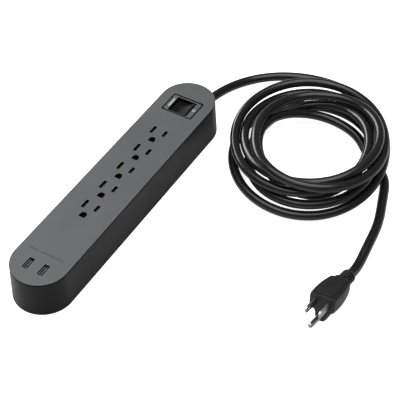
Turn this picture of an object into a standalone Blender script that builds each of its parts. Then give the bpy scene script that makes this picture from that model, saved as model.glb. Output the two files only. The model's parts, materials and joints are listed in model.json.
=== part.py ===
"""A power strip: five outlets, two charging ports, a rocker switch and a coiled cord with its plug.

Everything is in metres, +Z up. The origin is the centre of the housing's underside, +X runs along
the strip towards the switch and the cord, and +Y is the side of the outlets' neutral slots.
"""
import math

import bmesh
import bpy
import numpy as np
from mathutils import Euler, Matrix, Vector

# Housing
LENGTH = 0.2932
WIDTH = 0.0542
HEIGHT = 0.0375
END_RADIUS = WIDTH / 2
HALF_STRAIGHT = LENGTH / 2 - END_RADIUS
END_STEPS = 14
WALL = 0.0024
DRAFT = 0.0015
LID_THICKNESS = 0.0008
LID_REVEAL = 0.0006
PLATE_THICKNESS = 0.0022
PLATE_BOTTOM = HEIGHT - PLATE_THICKNESS
LEDGE_THICKNESS = 0.0020
LEDGE_REACH = 0.0038
BASE_THICKNESS = 0.0021
BASE_RADIUS = END_RADIUS - 0.0010
GAP = 0.0003

# Outlets: three slots each, measured from the line through the two blades
OUTLET_COUNT = 5
OUTLET_PITCH = 0.02815
FIRST_OUTLET_X = 0.0686
BLADE_SPACING = 0.0127
GROUND_OFFSET = 0.0119
NEUTRAL_SLOT = 0.0098
HOT_SLOT = 0.0078
SLOT_WIDTH = 0.0030
GROUND_HOLE = 0.0062

# Charging ports
PORT_X = -0.1263
PORT_SPACING = 0.0159
PORT_LENGTH = 0.0122
PORT_WIDTH = 0.0051
PORT_WALL = 0.00035
PORT_OPENING_MARGIN = 0.0004

# Circuit board of the charger
BOARD_LOW_X = -0.1395
BOARD_HIGH_X = -0.0810
BOARD_HALF_WIDTH = 0.0128
BOARD_BOTTOM = 0.0204
BOARD_THICKNESS = 0.0016
BOARD_POSTS_X = (-0.1363, -0.0870)

# Switch
SWITCH_X = 0.1106
SWITCH_Y = -0.0002
BEZEL_LENGTH = 0.0305
BEZEL_WIDTH = 0.0225
BEZEL_GAP = 0.0008
BEZEL_DEPTH = 0.0032
ROCKER_AXIS_Z = 0.0323
ROCKER_WIDTH = 0.0188
ROCKER_HALF_LENGTH = 0.0095
ROCKER_END_RISE = 0.00355
ROCKER_MIDDLE_RISE = 0.0019
ROCKER_GAP = 0.0003
ROCKER_TILT = math.radians(11)
ARM_AXIS_Z = 0.0182
ARM_TILT = math.radians(7)

# Contact strips
CARRIER_LOW_X = -0.0640
CARRIER_HIGH_X = 0.0800
CARRIER_HALF_WIDTH = 0.0113
CARRIER_BOTTOM = 0.0097
CARRIER_TOP = 0.0347
STRIP_THICKNESS = 0.0008
LEAF_THICKNESS = 0.0006

# Cover screws
SCREW_XS = (-0.112, -0.008, 0.092)
SCREW_Y = 0.0219

# Cord
CORD_RADIUS = 0.0045
CORD_EXIT_Z = 0.0095
CORD_STEP = 0.010
CLAMP_X = 0.1371
CLAMP_SCREW_Y = 0.0084
# The coil: its centre, the direction of its far side, and for every quarter turn, clockwise from
# above and starting at the far side, the cord's distance from the centre and its height.
COIL_CENTRE = (0.140, -0.125)
COIL_FAR_SIDE = math.radians(31)
COIL_RADII = (
    0.1127, 0.0712, 0.0775, 0.0743, 0.0747, 0.0598, 0.0732, 0.0583,
    0.0605, 0.0528, 0.0675, 0.0720, 0.0837, 0.0687, 0.0752, 0.0529,
    0.0595, 0.0626, 0.0658, 0.0624, 0.0792, 0.0552, 0.0557, 0.0505,
    0.0510, 0.0559)
COIL_HEIGHTS = (
    0.0104, 0.0158, 0.0069, 0.0057, 0.0059, 0.0178, 0.0169, 0.0086,
    0.0186, 0.0356, 0.0280, 0.0220, 0.0289, 0.0321, 0.0405, 0.0391,
    0.0319, 0.0421, 0.0373, 0.0224, 0.0184, 0.0260, 0.0113, 0.0273,
    0.0159, 0.0045)
COIL_START = math.radians(15)
COIL_END = math.radians(6 * 360 + 85)
CORD_LEAD = ((0.1306, 0.0000, 0.0095), (0.1480, 0.0000, 0.0095), (0.1687, -0.0033, 0.0095),
             (0.1995, -0.0139, 0.0070), (0.2181, -0.0288, 0.0067))
CORD_TAIL = ((0.1485, -0.1986, 0.0053), (0.1270, -0.2077, 0.0052), (0.0952, -0.2176, 0.0052),
             (0.0636, -0.2221, 0.0060))

# Plug
PLUG_PLACE = (-0.0266, -0.2219, 0.0212)
PLUG_YAW = math.radians(177.7)
PLUG_PITCH = math.radians(-15.5)
PLUG_ROLL = math.radians(6.5)
BLADE_LENGTH = 0.0175
BLADE_WIDTH = 0.0064
BLADE_THICKNESS = 0.0015
BLADE_ROOT = 0.006
PIN_LENGTH = 0.0205
PIN_RADIUS = 0.0024
NECK_END = 0.0515
NECK_Z = 0.0012

GREY_PLASTIC = ("face_grey", (0.110, 0.112, 0.117), 0.55, 0.0)
BLACK_PLASTIC = ("shell_black", (0.018, 0.018, 0.019), 0.35, 0.0)
BLACK_NYLON = ("carrier_black", (0.022, 0.022, 0.022), 0.5, 0.0)
BRASS = ("brass", (0.72, 0.52, 0.22), 0.3, 1.0)
STEEL = ("steel", (0.55, 0.56, 0.58), 0.35, 1.0)
NICKEL = ("nickel", (0.78, 0.76, 0.73), 0.22, 1.0)
BOARD_GREEN = ("board_green", (0.02, 0.16, 0.07), 0.4, 0.0)
FERRITE = ("ferrite", (0.05, 0.05, 0.055), 0.6, 0.0)
TAPE_YELLOW = ("tape_yellow", (0.75, 0.55, 0.06), 0.45, 0.0)
CORD_BLACK = ("cord_black", (0.014, 0.014, 0.015), 0.3, 0.0)
WIRE_BLACK = ("wire_black", (0.02, 0.02, 0.02), 0.4, 0.0)
WIRE_WHITE = ("wire_white", (0.75, 0.75, 0.73), 0.4, 0.0)
WIRE_GREEN = ("wire_green", (0.03, 0.28, 0.08), 0.4, 0.0)


# ---------------------------------------------------------------- scene and helpers

def clear_scene():
    for old in list(bpy.data.objects):
        bpy.data.objects.remove(old, do_unlink=True)


def new_collection(name):
    group = bpy.data.collections.new(name)
    bpy.context.scene.collection.children.link(group)
    return group


def get_material(spec):
    name, colour, roughness, metallic = spec
    made = bpy.data.materials.get(name)
    if made is None:
        made = bpy.data.materials.new(name)
        made.use_nodes = True
        shader = made.node_tree.nodes["Principled BSDF"]
        shader.inputs["Base Color"].default_value = (*colour, 1.0)
        shader.inputs["Roughness"].default_value = roughness
        shader.inputs["Metallic"].default_value = metallic
        made.diffuse_color = (*colour, 1.0)
    return made


def add_object(name, data, spec=None):
    """Link a piece, or a cutter when it has no material."""
    made = bpy.data.objects.new(name, data)
    if spec is None:
        CUTTERS.objects.link(made)
        made.hide_render = True
        made.display_type = "WIRE"
    else:
        PARTS.objects.link(made)
        data.materials.append(get_material(spec))
    return made


def add_bmesh(name, bm, spec=None, smooth_angle=math.radians(35)):
    mesh = bpy.data.meshes.new(name)
    bm.to_mesh(mesh)
    bm.free()
    mesh.shade_smooth()
    mesh.set_sharp_from_angle(angle=smooth_angle)
    return add_object(name, mesh, spec)


def boxes(name, corners, spec=None):
    """One or more separate boxes, each given by its low and its high corner."""
    bm = bmesh.new()
    for low, high in corners:
        low, high = Vector(low), Vector(high)
        place = Matrix.Translation((low + high) / 2) @ Matrix.Diagonal((*(high - low), 1.0))
        bmesh.ops.create_cube(bm, size=1.0, matrix=place)
    return add_bmesh(name, bm, spec)


def rods(name, radius, ends, spec=None, sides=16):
    """One or more separate round rods, each from one point to another."""
    bm = bmesh.new()
    for start, end in ends:
        start, end = Vector(start), Vector(end)
        turn = (end - start).to_track_quat("Z", "Y").to_matrix().to_4x4()
        bmesh.ops.create_cone(
            bm, cap_ends=True, segments=sides, radius1=radius, radius2=radius,
            depth=(end - start).length, matrix=Matrix.Translation((start + end) / 2) @ turn)
    return add_bmesh(name, bm, spec)


def prism(name, outline, low, high, spec=None):
    """A flat outline, extruded from z = low to z = high, with its end faces as single polygons."""
    curve = bpy.data.curves.new(name, "CURVE")
    curve.dimensions = "2D"
    curve.fill_mode = "BOTH"
    curve.extrude = (high - low) / 2
    spline = curve.splines.new("POLY")
    spline.points.add(len(outline) - 1)
    for point, (x, y) in zip(spline.points, outline):
        point.co = (x, y, 0.0, 1.0)
    spline.use_cyclic_u = True
    shape = bpy.data.objects.new(name + "_outline", curve)
    CUTTERS.objects.link(shape)
    graph = bpy.context.evaluated_depsgraph_get()
    mesh = bpy.data.meshes.new_from_object(shape.evaluated_get(graph))
    bpy.data.objects.remove(shape, do_unlink=True)
    bpy.data.curves.remove(curve)
    bm = bmesh.new()
    bm.from_mesh(mesh)
    bpy.data.meshes.remove(mesh)
    bmesh.ops.remove_doubles(bm, verts=bm.verts, dist=1e-6)
    bmesh.ops.dissolve_limit(bm, angle_limit=0.001, verts=bm.verts, edges=bm.edges)
    bmesh.ops.translate(bm, verts=bm.verts, vec=(0.0, 0.0, (low + high) / 2))
    bmesh.ops.recalc_face_normals(bm, faces=bm.faces)
    return add_bmesh(name, bm, spec)


def turned(name, profile, spec=None, steps=24):
    """A turned shape about Z; the profile of (radius, z) runs down its outer side."""
    bm = bmesh.new()
    points = [bm.verts.new((radius, 0.0, z)) for radius, z in profile]
    for upper, lower in zip(points, points[1:]):
        bm.edges.new((upper, lower))
    made = add_bmesh(name, bm, spec)
    screw = made.modifiers.new("turn", "SCREW")
    screw.steps = steps
    screw.render_steps = steps
    screw.use_merge_vertices = True
    screw.merge_threshold = 0.00001
    screw.use_smooth_shade = True
    return made


def tube(name, points, radius, spec):
    """A wire or cord through the given points."""
    curve = bpy.data.curves.new(name, "CURVE")
    curve.dimensions = "3D"
    curve.bevel_depth = radius
    curve.bevel_resolution = 2
    curve.use_fill_caps = True
    spline = curve.splines.new("POLY")
    spline.points.add(len(points) - 1)
    for point, place in zip(spline.points, points):
        point.co = (*place, 1.0)
    spline.use_smooth = True
    return add_object(name, curve, spec)


def cut(target, cutter, operation="DIFFERENCE"):
    step = target.modifiers.new(cutter.name, "BOOLEAN")
    step.operation = operation
    step.solver = "EXACT"
    step.object = cutter


def join(target, addition):
    cut(target, addition, "UNION")


def round_edges(target, width, segments=2, angle=math.radians(50)):
    bevel = target.modifiers.new("rounded_edges", "BEVEL")
    bevel.width = width
    bevel.segments = segments
    bevel.limit_method = "ANGLE"
    bevel.angle_limit = angle


def arc(centre, radius, start, end, steps):
    """Points on an arc in the plane, angles in radians."""
    return [(centre[0] + radius * math.cos(start + (end - start) * i / steps),
             centre[1] + radius * math.sin(start + (end - start) * i / steps))
            for i in range(steps + 1)]


def stadium(radius, half_straight=HALF_STRAIGHT, steps=END_STEPS):
    quarter = math.pi / 2
    right = arc((half_straight, 0.0), radius, -quarter, quarter, steps)
    left = arc((-half_straight, 0.0), radius, quarter, 3 * quarter, steps)
    return right + left


def rounded_rectangle(centre, length, width, radius, steps=3):
    outline = []
    for corner, (sx, sy) in enumerate(((1, 1), (-1, 1), (-1, -1), (1, -1))):
        middle = (centre[0] + sx * (length / 2 - radius), centre[1] + sy * (width / 2 - radius))
        start = corner * math.pi / 2
        outline += arc(middle, radius, start, start + math.pi / 2, steps)
    return outline


def spline_through(knots, values, where):
    """A natural cubic spline through values at the given knots, read at the given places."""
    knots, values, where = np.asarray(knots), np.asarray(values), np.asarray(where)
    spans = np.diff(knots)
    count = len(knots)
    system = np.zeros((count, count))
    right = np.zeros((count, values.shape[1]))
    system[0, 0] = 1.0
    system[-1, -1] = 1.0
    for i in range(1, count - 1):
        system[i, i - 1:i + 2] = spans[i - 1], 2 * (spans[i - 1] + spans[i]), spans[i]
        right[i] = 6 * ((values[i + 1] - values[i]) / spans[i]
                        - (values[i] - values[i - 1]) / spans[i - 1])
    bend = np.linalg.solve(system, right)
    k = np.clip(np.searchsorted(knots, where) - 1, 0, count - 2)
    span = spans[k][:, None]
    after = (knots[k + 1] - where)[:, None]
    before = (where - knots[k])[:, None]
    return ((bend[k] * after ** 3 + bend[k + 1] * before ** 3) / (6 * span)
            + (values[k] / span - bend[k] * span / 6) * after
            + (values[k + 1] / span - bend[k + 1] * span / 6) * before)


def smooth_path(points, step):
    """Evenly spaced points on a smooth curve through the given ones."""
    points = np.asarray(points)
    steps = np.linalg.norm(np.diff(points, axis=0), axis=1)
    knots = np.concatenate(([0.0], np.cumsum(steps)))
    count = int(round(knots[-1] / step))
    return spline_through(knots, points, np.linspace(0.0, knots[-1], count + 1))


# ---------------------------------------------------------------- housing

def outlet_xs():
    return [FIRST_OUTLET_X - OUTLET_PITCH * i for i in range(OUTLET_COUNT)]


def screw_places():
    return [(x, side * SCREW_Y) for x in SCREW_XS for side in (1, -1)]


def draft(z):
    """How far the outer wall stands out beyond the face plate's edge at a height."""
    return DRAFT * (1 - z / HEIGHT)


def shell_section():
    """The wall in section: distance in from the face plate's edge, and height."""
    top = HEIGHT - LID_THICKNESS - LID_REVEAL
    ledge_top = PLATE_BOTTOM - GAP
    ledge_bottom = ledge_top - LEDGE_THICKNESS
    base_top = BASE_THICKNESS + GAP
    base_edge = END_RADIUS - BASE_RADIUS - GAP
    return [(-draft(0.0005), 0.0005), (-draft(top), top - 0.0002), (0.0002 - draft(top), top),
            (WALL, top), (WALL, ledge_top), (LEDGE_REACH, ledge_top), (LEDGE_REACH, ledge_bottom),
            (WALL, ledge_bottom - 0.0014), (WALL, base_top), (base_edge, base_top),
            (base_edge, 0.0), (0.0005 - draft(0.0), 0.0), (0.0001 - draft(0.0), 0.0002)]


def housing_shell():
    """The section carried round the housing's outline, with the screw bosses joined on."""
    bm = bmesh.new()
    rings = []
    for inset, z in shell_section():
        rings.append([bm.verts.new((x, y, z)) for x, y in stadium(END_RADIUS - inset)])
    for lower, upper in zip(rings, rings[1:] + rings[:1]):
        for i in range(len(lower)):
            j = (i + 1) % len(lower)
            bm.faces.new((lower[i], lower[j], upper[j], upper[i]))
    bmesh.ops.recalc_face_normals(bm, faces=bm.faces)
    shell = add_bmesh("housing_shell", bm, BLACK_PLASTIC)
    bosses = [((x, y, 0.0030), (x, y, 0.0267)) for x, y in screw_places()]
    join(shell, rods("boss_shapes", 0.0032, bosses, sides=12))
    pilots = [((x, y, 0.0010), (x, y, 0.0150)) for x, y in screw_places()]
    cut(shell, rods("boss_hole_cutters", 0.00135, pilots, sides=8))
    exit_hole = ((LENGTH / 2 - 0.010, 0.0, CORD_EXIT_Z), (LENGTH / 2 + 0.005, 0.0, CORD_EXIT_Z))
    cut(shell, rods("cord_exit_cutter", CORD_RADIUS + 0.0005, [exit_hole], sides=20))


def slot_cutters(low, high):
    """The three slots of every outlet, as one cutter."""
    shapes = []
    for x in outlet_xs():
        for side, length in ((1, NEUTRAL_SLOT), (-1, HOT_SLOT)):
            y = side * BLADE_SPACING / 2
            shapes.append(((x - length / 2, y - SLOT_WIDTH / 2, low),
                           (x + length / 2, y + SLOT_WIDTH / 2, high)))
    return boxes("blade_slot_cutters", shapes)


def ground_hole_outline(x):
    """A D: flat towards -X, round towards the blades."""
    half = GROUND_HOLE / 2
    return [(x - half, half), (x - half, -half)] + arc((x, 0.0), half, -math.pi / 2, math.pi / 2, 8)


def top_plate():
    """A lid over the shell's whole outline, with a step that drops inside the wall."""
    lid_bottom = HEIGHT - LID_THICKNESS
    plate = prism("top_plate", stadium(END_RADIUS), lid_bottom, HEIGHT, GREY_PLASTIC)
    round_edges(plate, 0.00025, 1)
    step = stadium(END_RADIUS - WALL - GAP)
    join(plate, prism("plate_step_shape", step, PLATE_BOTTOM, lid_bottom + 0.0003))
    cut(plate, slot_cutters(PLATE_BOTTOM - 0.001, HEIGHT + 0.001))
    for number, x in enumerate(outlet_xs(), 1):
        outline = ground_hole_outline(x - GROUND_OFFSET)
        hole = prism("ground_cutter_%d" % number, outline, PLATE_BOTTOM - 0.001, HEIGHT + 0.001)
        cut(plate, hole)
    bezel_hole = rounded_rectangle((SWITCH_X, SWITCH_Y), BEZEL_WIDTH + 2 * BEZEL_GAP,
                                   BEZEL_LENGTH + 2 * BEZEL_GAP, 0.0014)
    cut(plate, prism("bezel_hole_cutter", bezel_hole, PLATE_BOTTOM - 0.001, HEIGHT + 0.001))
    for number, y in enumerate(port_ys(), 1):
        port = rounded_rectangle((PORT_X, y), PORT_LENGTH + 2 * PORT_OPENING_MARGIN,
                                 PORT_WIDTH + 2 * PORT_OPENING_MARGIN, 0.0006, 2)
        cut(plate, prism("port_cutter_%d" % number, port, PLATE_BOTTOM - 0.001, HEIGHT + 0.001))


def base_cover():
    base = prism("base_cover", stadium(BASE_RADIUS), 0.0, BASE_THICKNESS, BLACK_PLASTIC)
    countersink = ((0.0, 0.004), (0.00145, 0.004), (0.00145, 0.00195), (0.0033, 0.0),
                   (0.0033, -0.001), (0.0, -0.001))
    for number, (x, y) in enumerate(screw_places(), 1):
        hole = turned("countersink_cutter_%d" % number, countersink, steps=12)
        hole.location = (x, y, 0.0)
        cut(base, hole)
    for number, x in enumerate((-0.062, 0.062), 1):
        below, above = -0.001, BASE_THICKNESS + 0.001
        head = rods("keyhole_head_cutter_%d" % number, 0.0038, [((x, 0, below), (x, 0, above))])
        neck = rounded_rectangle((x + 0.005, 0.0), 0.0120, 0.0038, 0.00185, 4)
        cut(base, head)
        cut(base, prism("keyhole_neck_cutter_%d" % number, neck, below, above))
    floor = BASE_THICKNESS - 0.0006
    posts = [((x, 0.0, floor), (x, 0.0, BOARD_BOTTOM - GAP)) for x in BOARD_POSTS_X]
    join(base, rods("board_post_shapes", 0.0030, posts, sides=12))
    clamp_ys = (CLAMP_SCREW_Y, -CLAMP_SCREW_Y)
    posts = [((CLAMP_X, y, floor), (CLAMP_X, y, 0.0111)) for y in clamp_ys]
    join(base, rods("clamp_post_shapes", 0.0026, posts, sides=12))
    saddle = ((CLAMP_X - 0.0035, -0.0045, floor), (CLAMP_X + 0.0035, 0.0045, 0.0045))
    join(base, boxes("cord_saddle_shape", [saddle]))
    pilots = [((x, 0.0, 0.0117), (x, 0.0, 0.0227)) for x in BOARD_POSTS_X]
    pilots += [((CLAMP_X, y, 0.0030), (CLAMP_X, y, 0.0125)) for y in clamp_ys]
    cut(base, rods("post_hole_cutters", 0.00115, pilots, sides=8))


def recessed_screw(name, profile, recess_low, recess_high, spec=STEEL):
    """A turned screw with a cross recess between the two heights."""
    screw = turned(name, profile, spec, steps=12)
    reach, half, turn = 0.0012, 0.00022, math.radians(20)
    arm = [(reach, -half), (reach, half), (half, half)]
    cross = [(x * math.cos(a) - y * math.sin(a), x * math.sin(a) + y * math.cos(a))
             for a in (turn + i * math.pi / 2 for i in range(4)) for x, y in arm]
    cut(screw, prism(name + "_recess_cutter", cross, recess_low, recess_high))
    return screw


def move_with_cutters(screw, place):
    screw.location = place
    for step in screw.modifiers:
        if step.type == "BOOLEAN":
            step.object.location = place


def housing_screws():
    profile = ((0.0, 0.0125), (0.0008, 0.0125), (0.0011, 0.0118), (0.0011, 0.0020),
               (0.0027, GAP), (0.0, GAP))
    for number, (x, y) in enumerate(screw_places(), 1):
        screw = recessed_screw("housing_screw_%d" % number, profile, -0.001, 0.0012)
        move_with_cutters(screw, (x, y, 0.0))


# ---------------------------------------------------------------- outlets

def contact_carrier():
    low = (CARRIER_LOW_X, -CARRIER_HALF_WIDTH, CARRIER_BOTTOM)
    high = (CARRIER_HIGH_X, CARRIER_HALF_WIDTH, CARRIER_TOP)
    carrier = boxes("contact_carrier", [(low, high)], BLACK_NYLON)
    beyond = 0.010
    top = CARRIER_TOP + 0.001
    channels = [((CARRIER_LOW_X - beyond, side * 0.0066 - 0.0026, 0.0174),
                 (CARRIER_HIGH_X + beyond, side * 0.0066 + 0.0026, top)) for side in (1, -1)]
    channels.append(((-0.0622, -0.0032, 0.0114), (CARRIER_HIGH_X + beyond, 0.0032, top)))
    cut(carrier, boxes("channel_cutters", channels))
    legs = [((x, y, BASE_THICKNESS + GAP), (x, y, CARRIER_BOTTOM + 0.0005))
            for x in (-0.050, 0.050) for y in (-0.0075, 0.0075)]
    join(carrier, rods("carrier_leg_shapes", 0.0030, legs, sides=12))


def blade_bus(name, side, leaf_length):
    """A strip with two spring leaves under every slot on one side."""
    strip_low = 0.0177
    y = side * BLADE_SPACING / 2
    edge = side * 0.0066
    strip = ((-0.0560, edge - 0.0023, strip_low), (0.0840, edge + 0.0023, strip_low + STRIP_THICKNESS))
    bus = boxes(name, [strip], BRASS)
    leaves = []
    for x in outlet_xs():
        for way in (1, -1):
            near = y + way * 0.00095
            far = near + way * LEAF_THICKNESS
            leaves.append(((x - leaf_length / 2, min(near, far), strip_low + STRIP_THICKNESS / 2),
                           (x + leaf_length / 2, max(near, far), 0.0339)))
    join(bus, boxes(name + "_leaf_shapes", leaves))


def ground_bus():
    strip_low = 0.0117
    strip = ((-0.0615, -0.0027, strip_low), (0.0845, 0.0027, strip_low + STRIP_THICKNESS))
    bus = boxes("ground_bus", [strip], BRASS)
    leaves = []
    for x in outlet_xs():
        for way in (1, -1):
            near = x - GROUND_OFFSET + way * (PIN_RADIUS + 0.0002)
            far = near + way * LEAF_THICKNESS
            leaves.append(((min(near, far), -0.0025, strip_low + STRIP_THICKNESS / 2),
                           (max(near, far), 0.0025, 0.0327)))
    join(bus, boxes("ground_leaf_shapes", leaves))


# ---------------------------------------------------------------- switch

def switch_bezel():
    outline = rounded_rectangle((SWITCH_X, SWITCH_Y), BEZEL_WIDTH, BEZEL_LENGTH, 0.0010)
    bezel = prism("switch_bezel", outline, HEIGHT - BEZEL_DEPTH, HEIGHT, GREY_PLASTIC)
    round_edges(bezel, 0.0003, 1)
    sweep = math.hypot(ROCKER_HALF_LENGTH, ROCKER_END_RISE) + ROCKER_GAP
    half = ROCKER_WIDTH / 2 + ROCKER_GAP
    window = ((SWITCH_X - half, SWITCH_Y - sweep, HEIGHT - 0.010),
              (SWITCH_X + half, SWITCH_Y + sweep, HEIGHT + 0.001))
    cut(bezel, boxes("rocker_window_cutter", [window]))


def switch_housing():
    x, y = SWITCH_X, SWITCH_Y
    body = boxes("switch_housing",
                 [((x - 0.0110, y - 0.0147, 0.0097), (x + 0.0110, y + 0.0147, 0.0339))],
                 BLACK_PLASTIC)
    cut(body, boxes("switch_cavity_cutter",
                    [((x - 0.0097, y - 0.0132, 0.0117), (x + 0.0097, y + 0.0132, 0.0367))]))
    slots = [((x - 0.0034, y - 0.0008, 0.0067), (x + 0.0034, y + 0.0008, 0.0127)),
             ((x - 0.0034, y - 0.0083, 0.0067), (x + 0.0034, y - 0.0064, 0.0127)),
             ((x - 0.0120, y - 0.0018, ROCKER_AXIS_Z - 0.0018), (x + 0.0120, y + 0.0018, 0.0367))]
    cut(body, boxes("switch_slot_cutters", slots))


def rocker_outline():
    """The rocker seen along its axis, level: a shallow V on top, arcs at the ends, a stem below."""
    sweep = math.hypot(ROCKER_HALF_LENGTH, ROCKER_END_RISE)
    top = math.atan2(ROCKER_END_RISE, ROCKER_HALF_LENGTH)
    bottom = -math.radians(18)
    right = [(0.0022, -0.0080), (0.0028, -0.0034)]
    right += arc((0.0, 0.0), sweep, bottom, top, 6)
    left = [(-y, z) for y, z in reversed(right)]
    return right + [(0.0, ROCKER_MIDDLE_RISE)] + left


def switch_axis(name, height, tilt):
    """An empty on a joint's axis in the switch, turned so that its children lie at rest."""
    empty = bpy.data.objects.new(name, None)
    PARTS.objects.link(empty)
    empty.location = (SWITCH_X, SWITCH_Y, height)
    empty.rotation_euler = (tilt, 0.0, 0.0)
    return empty


def attach(child, parent):
    child.parent = parent
    for step in child.modifiers:
        if step.type == "BOOLEAN":
            attach(step.object, parent)


def rocker():
    axis = switch_axis("rocker_axis", ROCKER_AXIS_Z, -ROCKER_TILT)
    half = ROCKER_WIDTH / 2
    body = prism("rocker", rocker_outline(), -half, half, BLACK_PLASTIC)
    round_edges(body, 0.00035, 2, math.radians(40))
    sideways = Matrix(((0, 0, 1, 0), (1, 0, 0, 0), (0, 1, 0, 0), (0, 0, 0, 1)))
    body.data.transform(sideways)
    join(body, rods("trunnion_shape", 0.0015, [((-0.0106, 0.0, 0.0), (0.0106, 0.0, 0.0))]))
    cut(body, rods("plunger_hole_cutter", 0.00155, [((0.0, 0.0, -0.009), (0.0, 0.0, -0.0030))]))
    attach(body, axis)
    tip = -0.0133
    profile = [(0.0, -0.0060), (0.0012, -0.0060), (0.0012, tip + 0.0012)]
    profile += [(0.0012 * math.cos(a), tip + 0.0012 - 0.0012 * math.sin(a))
                for a in (math.radians(30), math.radians(60))]
    profile.append((0.0, tip))
    attach(turned("rocker_plunger", profile, STEEL, steps=12), axis)
    turns, per_turn, top, bottom, radius = 3, 10, -0.0035, -0.0055, 0.00095
    count = turns * per_turn
    coil = [(radius * math.cos(2 * math.pi * i / per_turn),
             radius * math.sin(2 * math.pi * i / per_turn),
             top + (bottom - top) * i / count) for i in range(count + 1)]
    attach(tube("plunger_spring", coil, 0.0002, STEEL), axis)


def contact_arm():
    axis = switch_axis("arm_axis", ARM_AXIS_Z, ARM_TILT)
    arm = boxes("contact_arm", [((-0.003, -0.008, -0.0004), (0.003, 0.008, 0.0004))], BRASS)
    button = rods("button_shape", 0.0015, [((0.0, -0.0066, -0.0011), (0.0, -0.0066, 0.0))])
    join(arm, button)
    attach(arm, axis)


def switch_terminals():
    x, y = SWITCH_X, SWITCH_Y
    boxes("switch_line_terminal",
          [((x - 0.003, y - 0.0004, 0.0042), (x + 0.003, y + 0.0004, 0.0172))], BRASS)
    load = boxes("switch_load_terminal",
                 [((x - 0.003, y - 0.0078, 0.0042), (x + 0.003, y - 0.0070, 0.0157))], BRASS)
    join(load, boxes("load_contact_shape",
                     [((x - 0.003, y - 0.0084, 0.0151), (x + 0.003, y - 0.0050, 0.0158))]))
    strip = boxes("bimetal_strip",
                  [((x - 0.002, y + 0.0024, 0.0141), (x + 0.002, y + 0.0122, 0.0147))], STEEL)
    join(strip, boxes("bimetal_foot_shape",
                      [((x - 0.002, y + 0.0114, 0.0121), (x + 0.002, y + 0.0122, 0.0145))]))


# ---------------------------------------------------------------- charger

def port_ys():
    return (PORT_SPACING / 2, -PORT_SPACING / 2)


def usb_board():
    low = (BOARD_LOW_X, -BOARD_HALF_WIDTH, BOARD_BOTTOM)
    high = (BOARD_HIGH_X, BOARD_HALF_WIDTH, BOARD_BOTTOM + BOARD_THICKNESS)
    board = boxes("usb_board", [(low, high)], BOARD_GREEN)
    holes = [((x, 0.0, BOARD_BOTTOM - 0.001), (x, 0.0, BOARD_BOTTOM + 0.003))
             for x in BOARD_POSTS_X]
    cut(board, rods("board_hole_cutters", 0.0013, holes, sides=12))


def board_screws():
    top = BOARD_BOTTOM + BOARD_THICKNESS + GAP
    profile = ((0.0, top + 0.0016), (0.0018, top + 0.0016), (0.0025, top + 0.0010), (0.0025, top),
               (0.0008, top), (0.0008, 0.0137), (0.0, 0.0133))
    for number, x in enumerate(BOARD_POSTS_X, 1):
        screw = recessed_screw("board_screw_%d" % number, profile, top + 0.0008, top + 0.003)
        move_with_cutters(screw, (x, 0.0, 0.0))


def usb_ports():
    bottom = BOARD_BOTTOM + BOARD_THICKNESS + GAP
    top = HEIGHT - 0.0004
    for number, y in enumerate(port_ys(), 1):
        half_x, half_y = PORT_LENGTH / 2, PORT_WIDTH / 2
        shell = boxes("usb_shell_%d" % number,
                      [((PORT_X - half_x, y - half_y, bottom), (PORT_X + half_x, y + half_y, top))],
                      NICKEL)
        half_x, half_y = half_x - PORT_WALL, half_y - PORT_WALL
        cut(shell, boxes("usb_shell_cutter_%d" % number,
                         [((PORT_X - half_x, y - half_y, bottom - 0.001),
                           (PORT_X + half_x, y + half_y, top + 0.001))]))
        half_x, half_y = half_x - GAP, half_y - GAP
        tongue = boxes("usb_tongue_%d" % number,
                       [((PORT_X - half_x, y - half_y, bottom),
                         (PORT_X + half_x, y + half_y, bottom + 0.0025))], BLACK_NYLON)
        join(tongue, boxes("usb_tongue_shape_%d" % number,
                           [((PORT_X - 0.0052, y + 0.0002, bottom + 0.0015),
                             (PORT_X + 0.0052, y + 0.0017, top - 0.0009))]))


def transformer():
    x, top = -0.1016, BOARD_BOTTOM - GAP
    core = boxes("transformer_core",
                 [((x - 0.008, -0.0065, top - 0.0145), (x + 0.008, 0.0065, top))], FERRITE)
    windows = [((x + side * 0.0041 - 0.0019, -0.008, top - 0.0115),
                (x + side * 0.0041 + 0.0019, 0.008, top - 0.0030)) for side in (1, -1)]
    cut(core, boxes("core_window_cutters", windows))
    winding = boxes("transformer_winding",
                    [((x - 0.0056, -0.0098, top - 0.0112), (x + 0.0056, 0.0098, top - 0.0033))],
                    TAPE_YELLOW)
    cut(winding, boxes("winding_bore_cutter",
                       [((x - 0.0025, -0.0068, top - 0.013), (x + 0.0025, 0.0068, top))]))


def board_components():
    top = BOARD_BOTTOM - GAP
    for name, y, radius, length in (("input_capacitor", -0.0066, 0.0040, 0.0125),
                                    ("output_capacitor", 0.0066, 0.0033, 0.0110)):
        profile = ((0.0, top), (radius, top), (radius, top - length + 0.0005),
                   (radius - 0.0005, top - length), (0.0, top - length))
        can = turned(name, profile, FERRITE, steps=16)
        can.location = (-0.1173, y, 0.0)
    boxes("bridge_rectifier", [((-0.1310, -0.0090, top - 0.0028), (-0.1240, -0.0030, top))], FERRITE)
    boxes("charger_ic", [((-0.1300, 0.0030, top - 0.0016), (-0.1250, 0.0070, top))], FERRITE)


# ---------------------------------------------------------------- cord and wires

def plug_matrix():
    turn = Euler((PLUG_ROLL, PLUG_PITCH, PLUG_YAW)).to_matrix().to_4x4()
    return Matrix.Translation(PLUG_PLACE) @ turn


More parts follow.
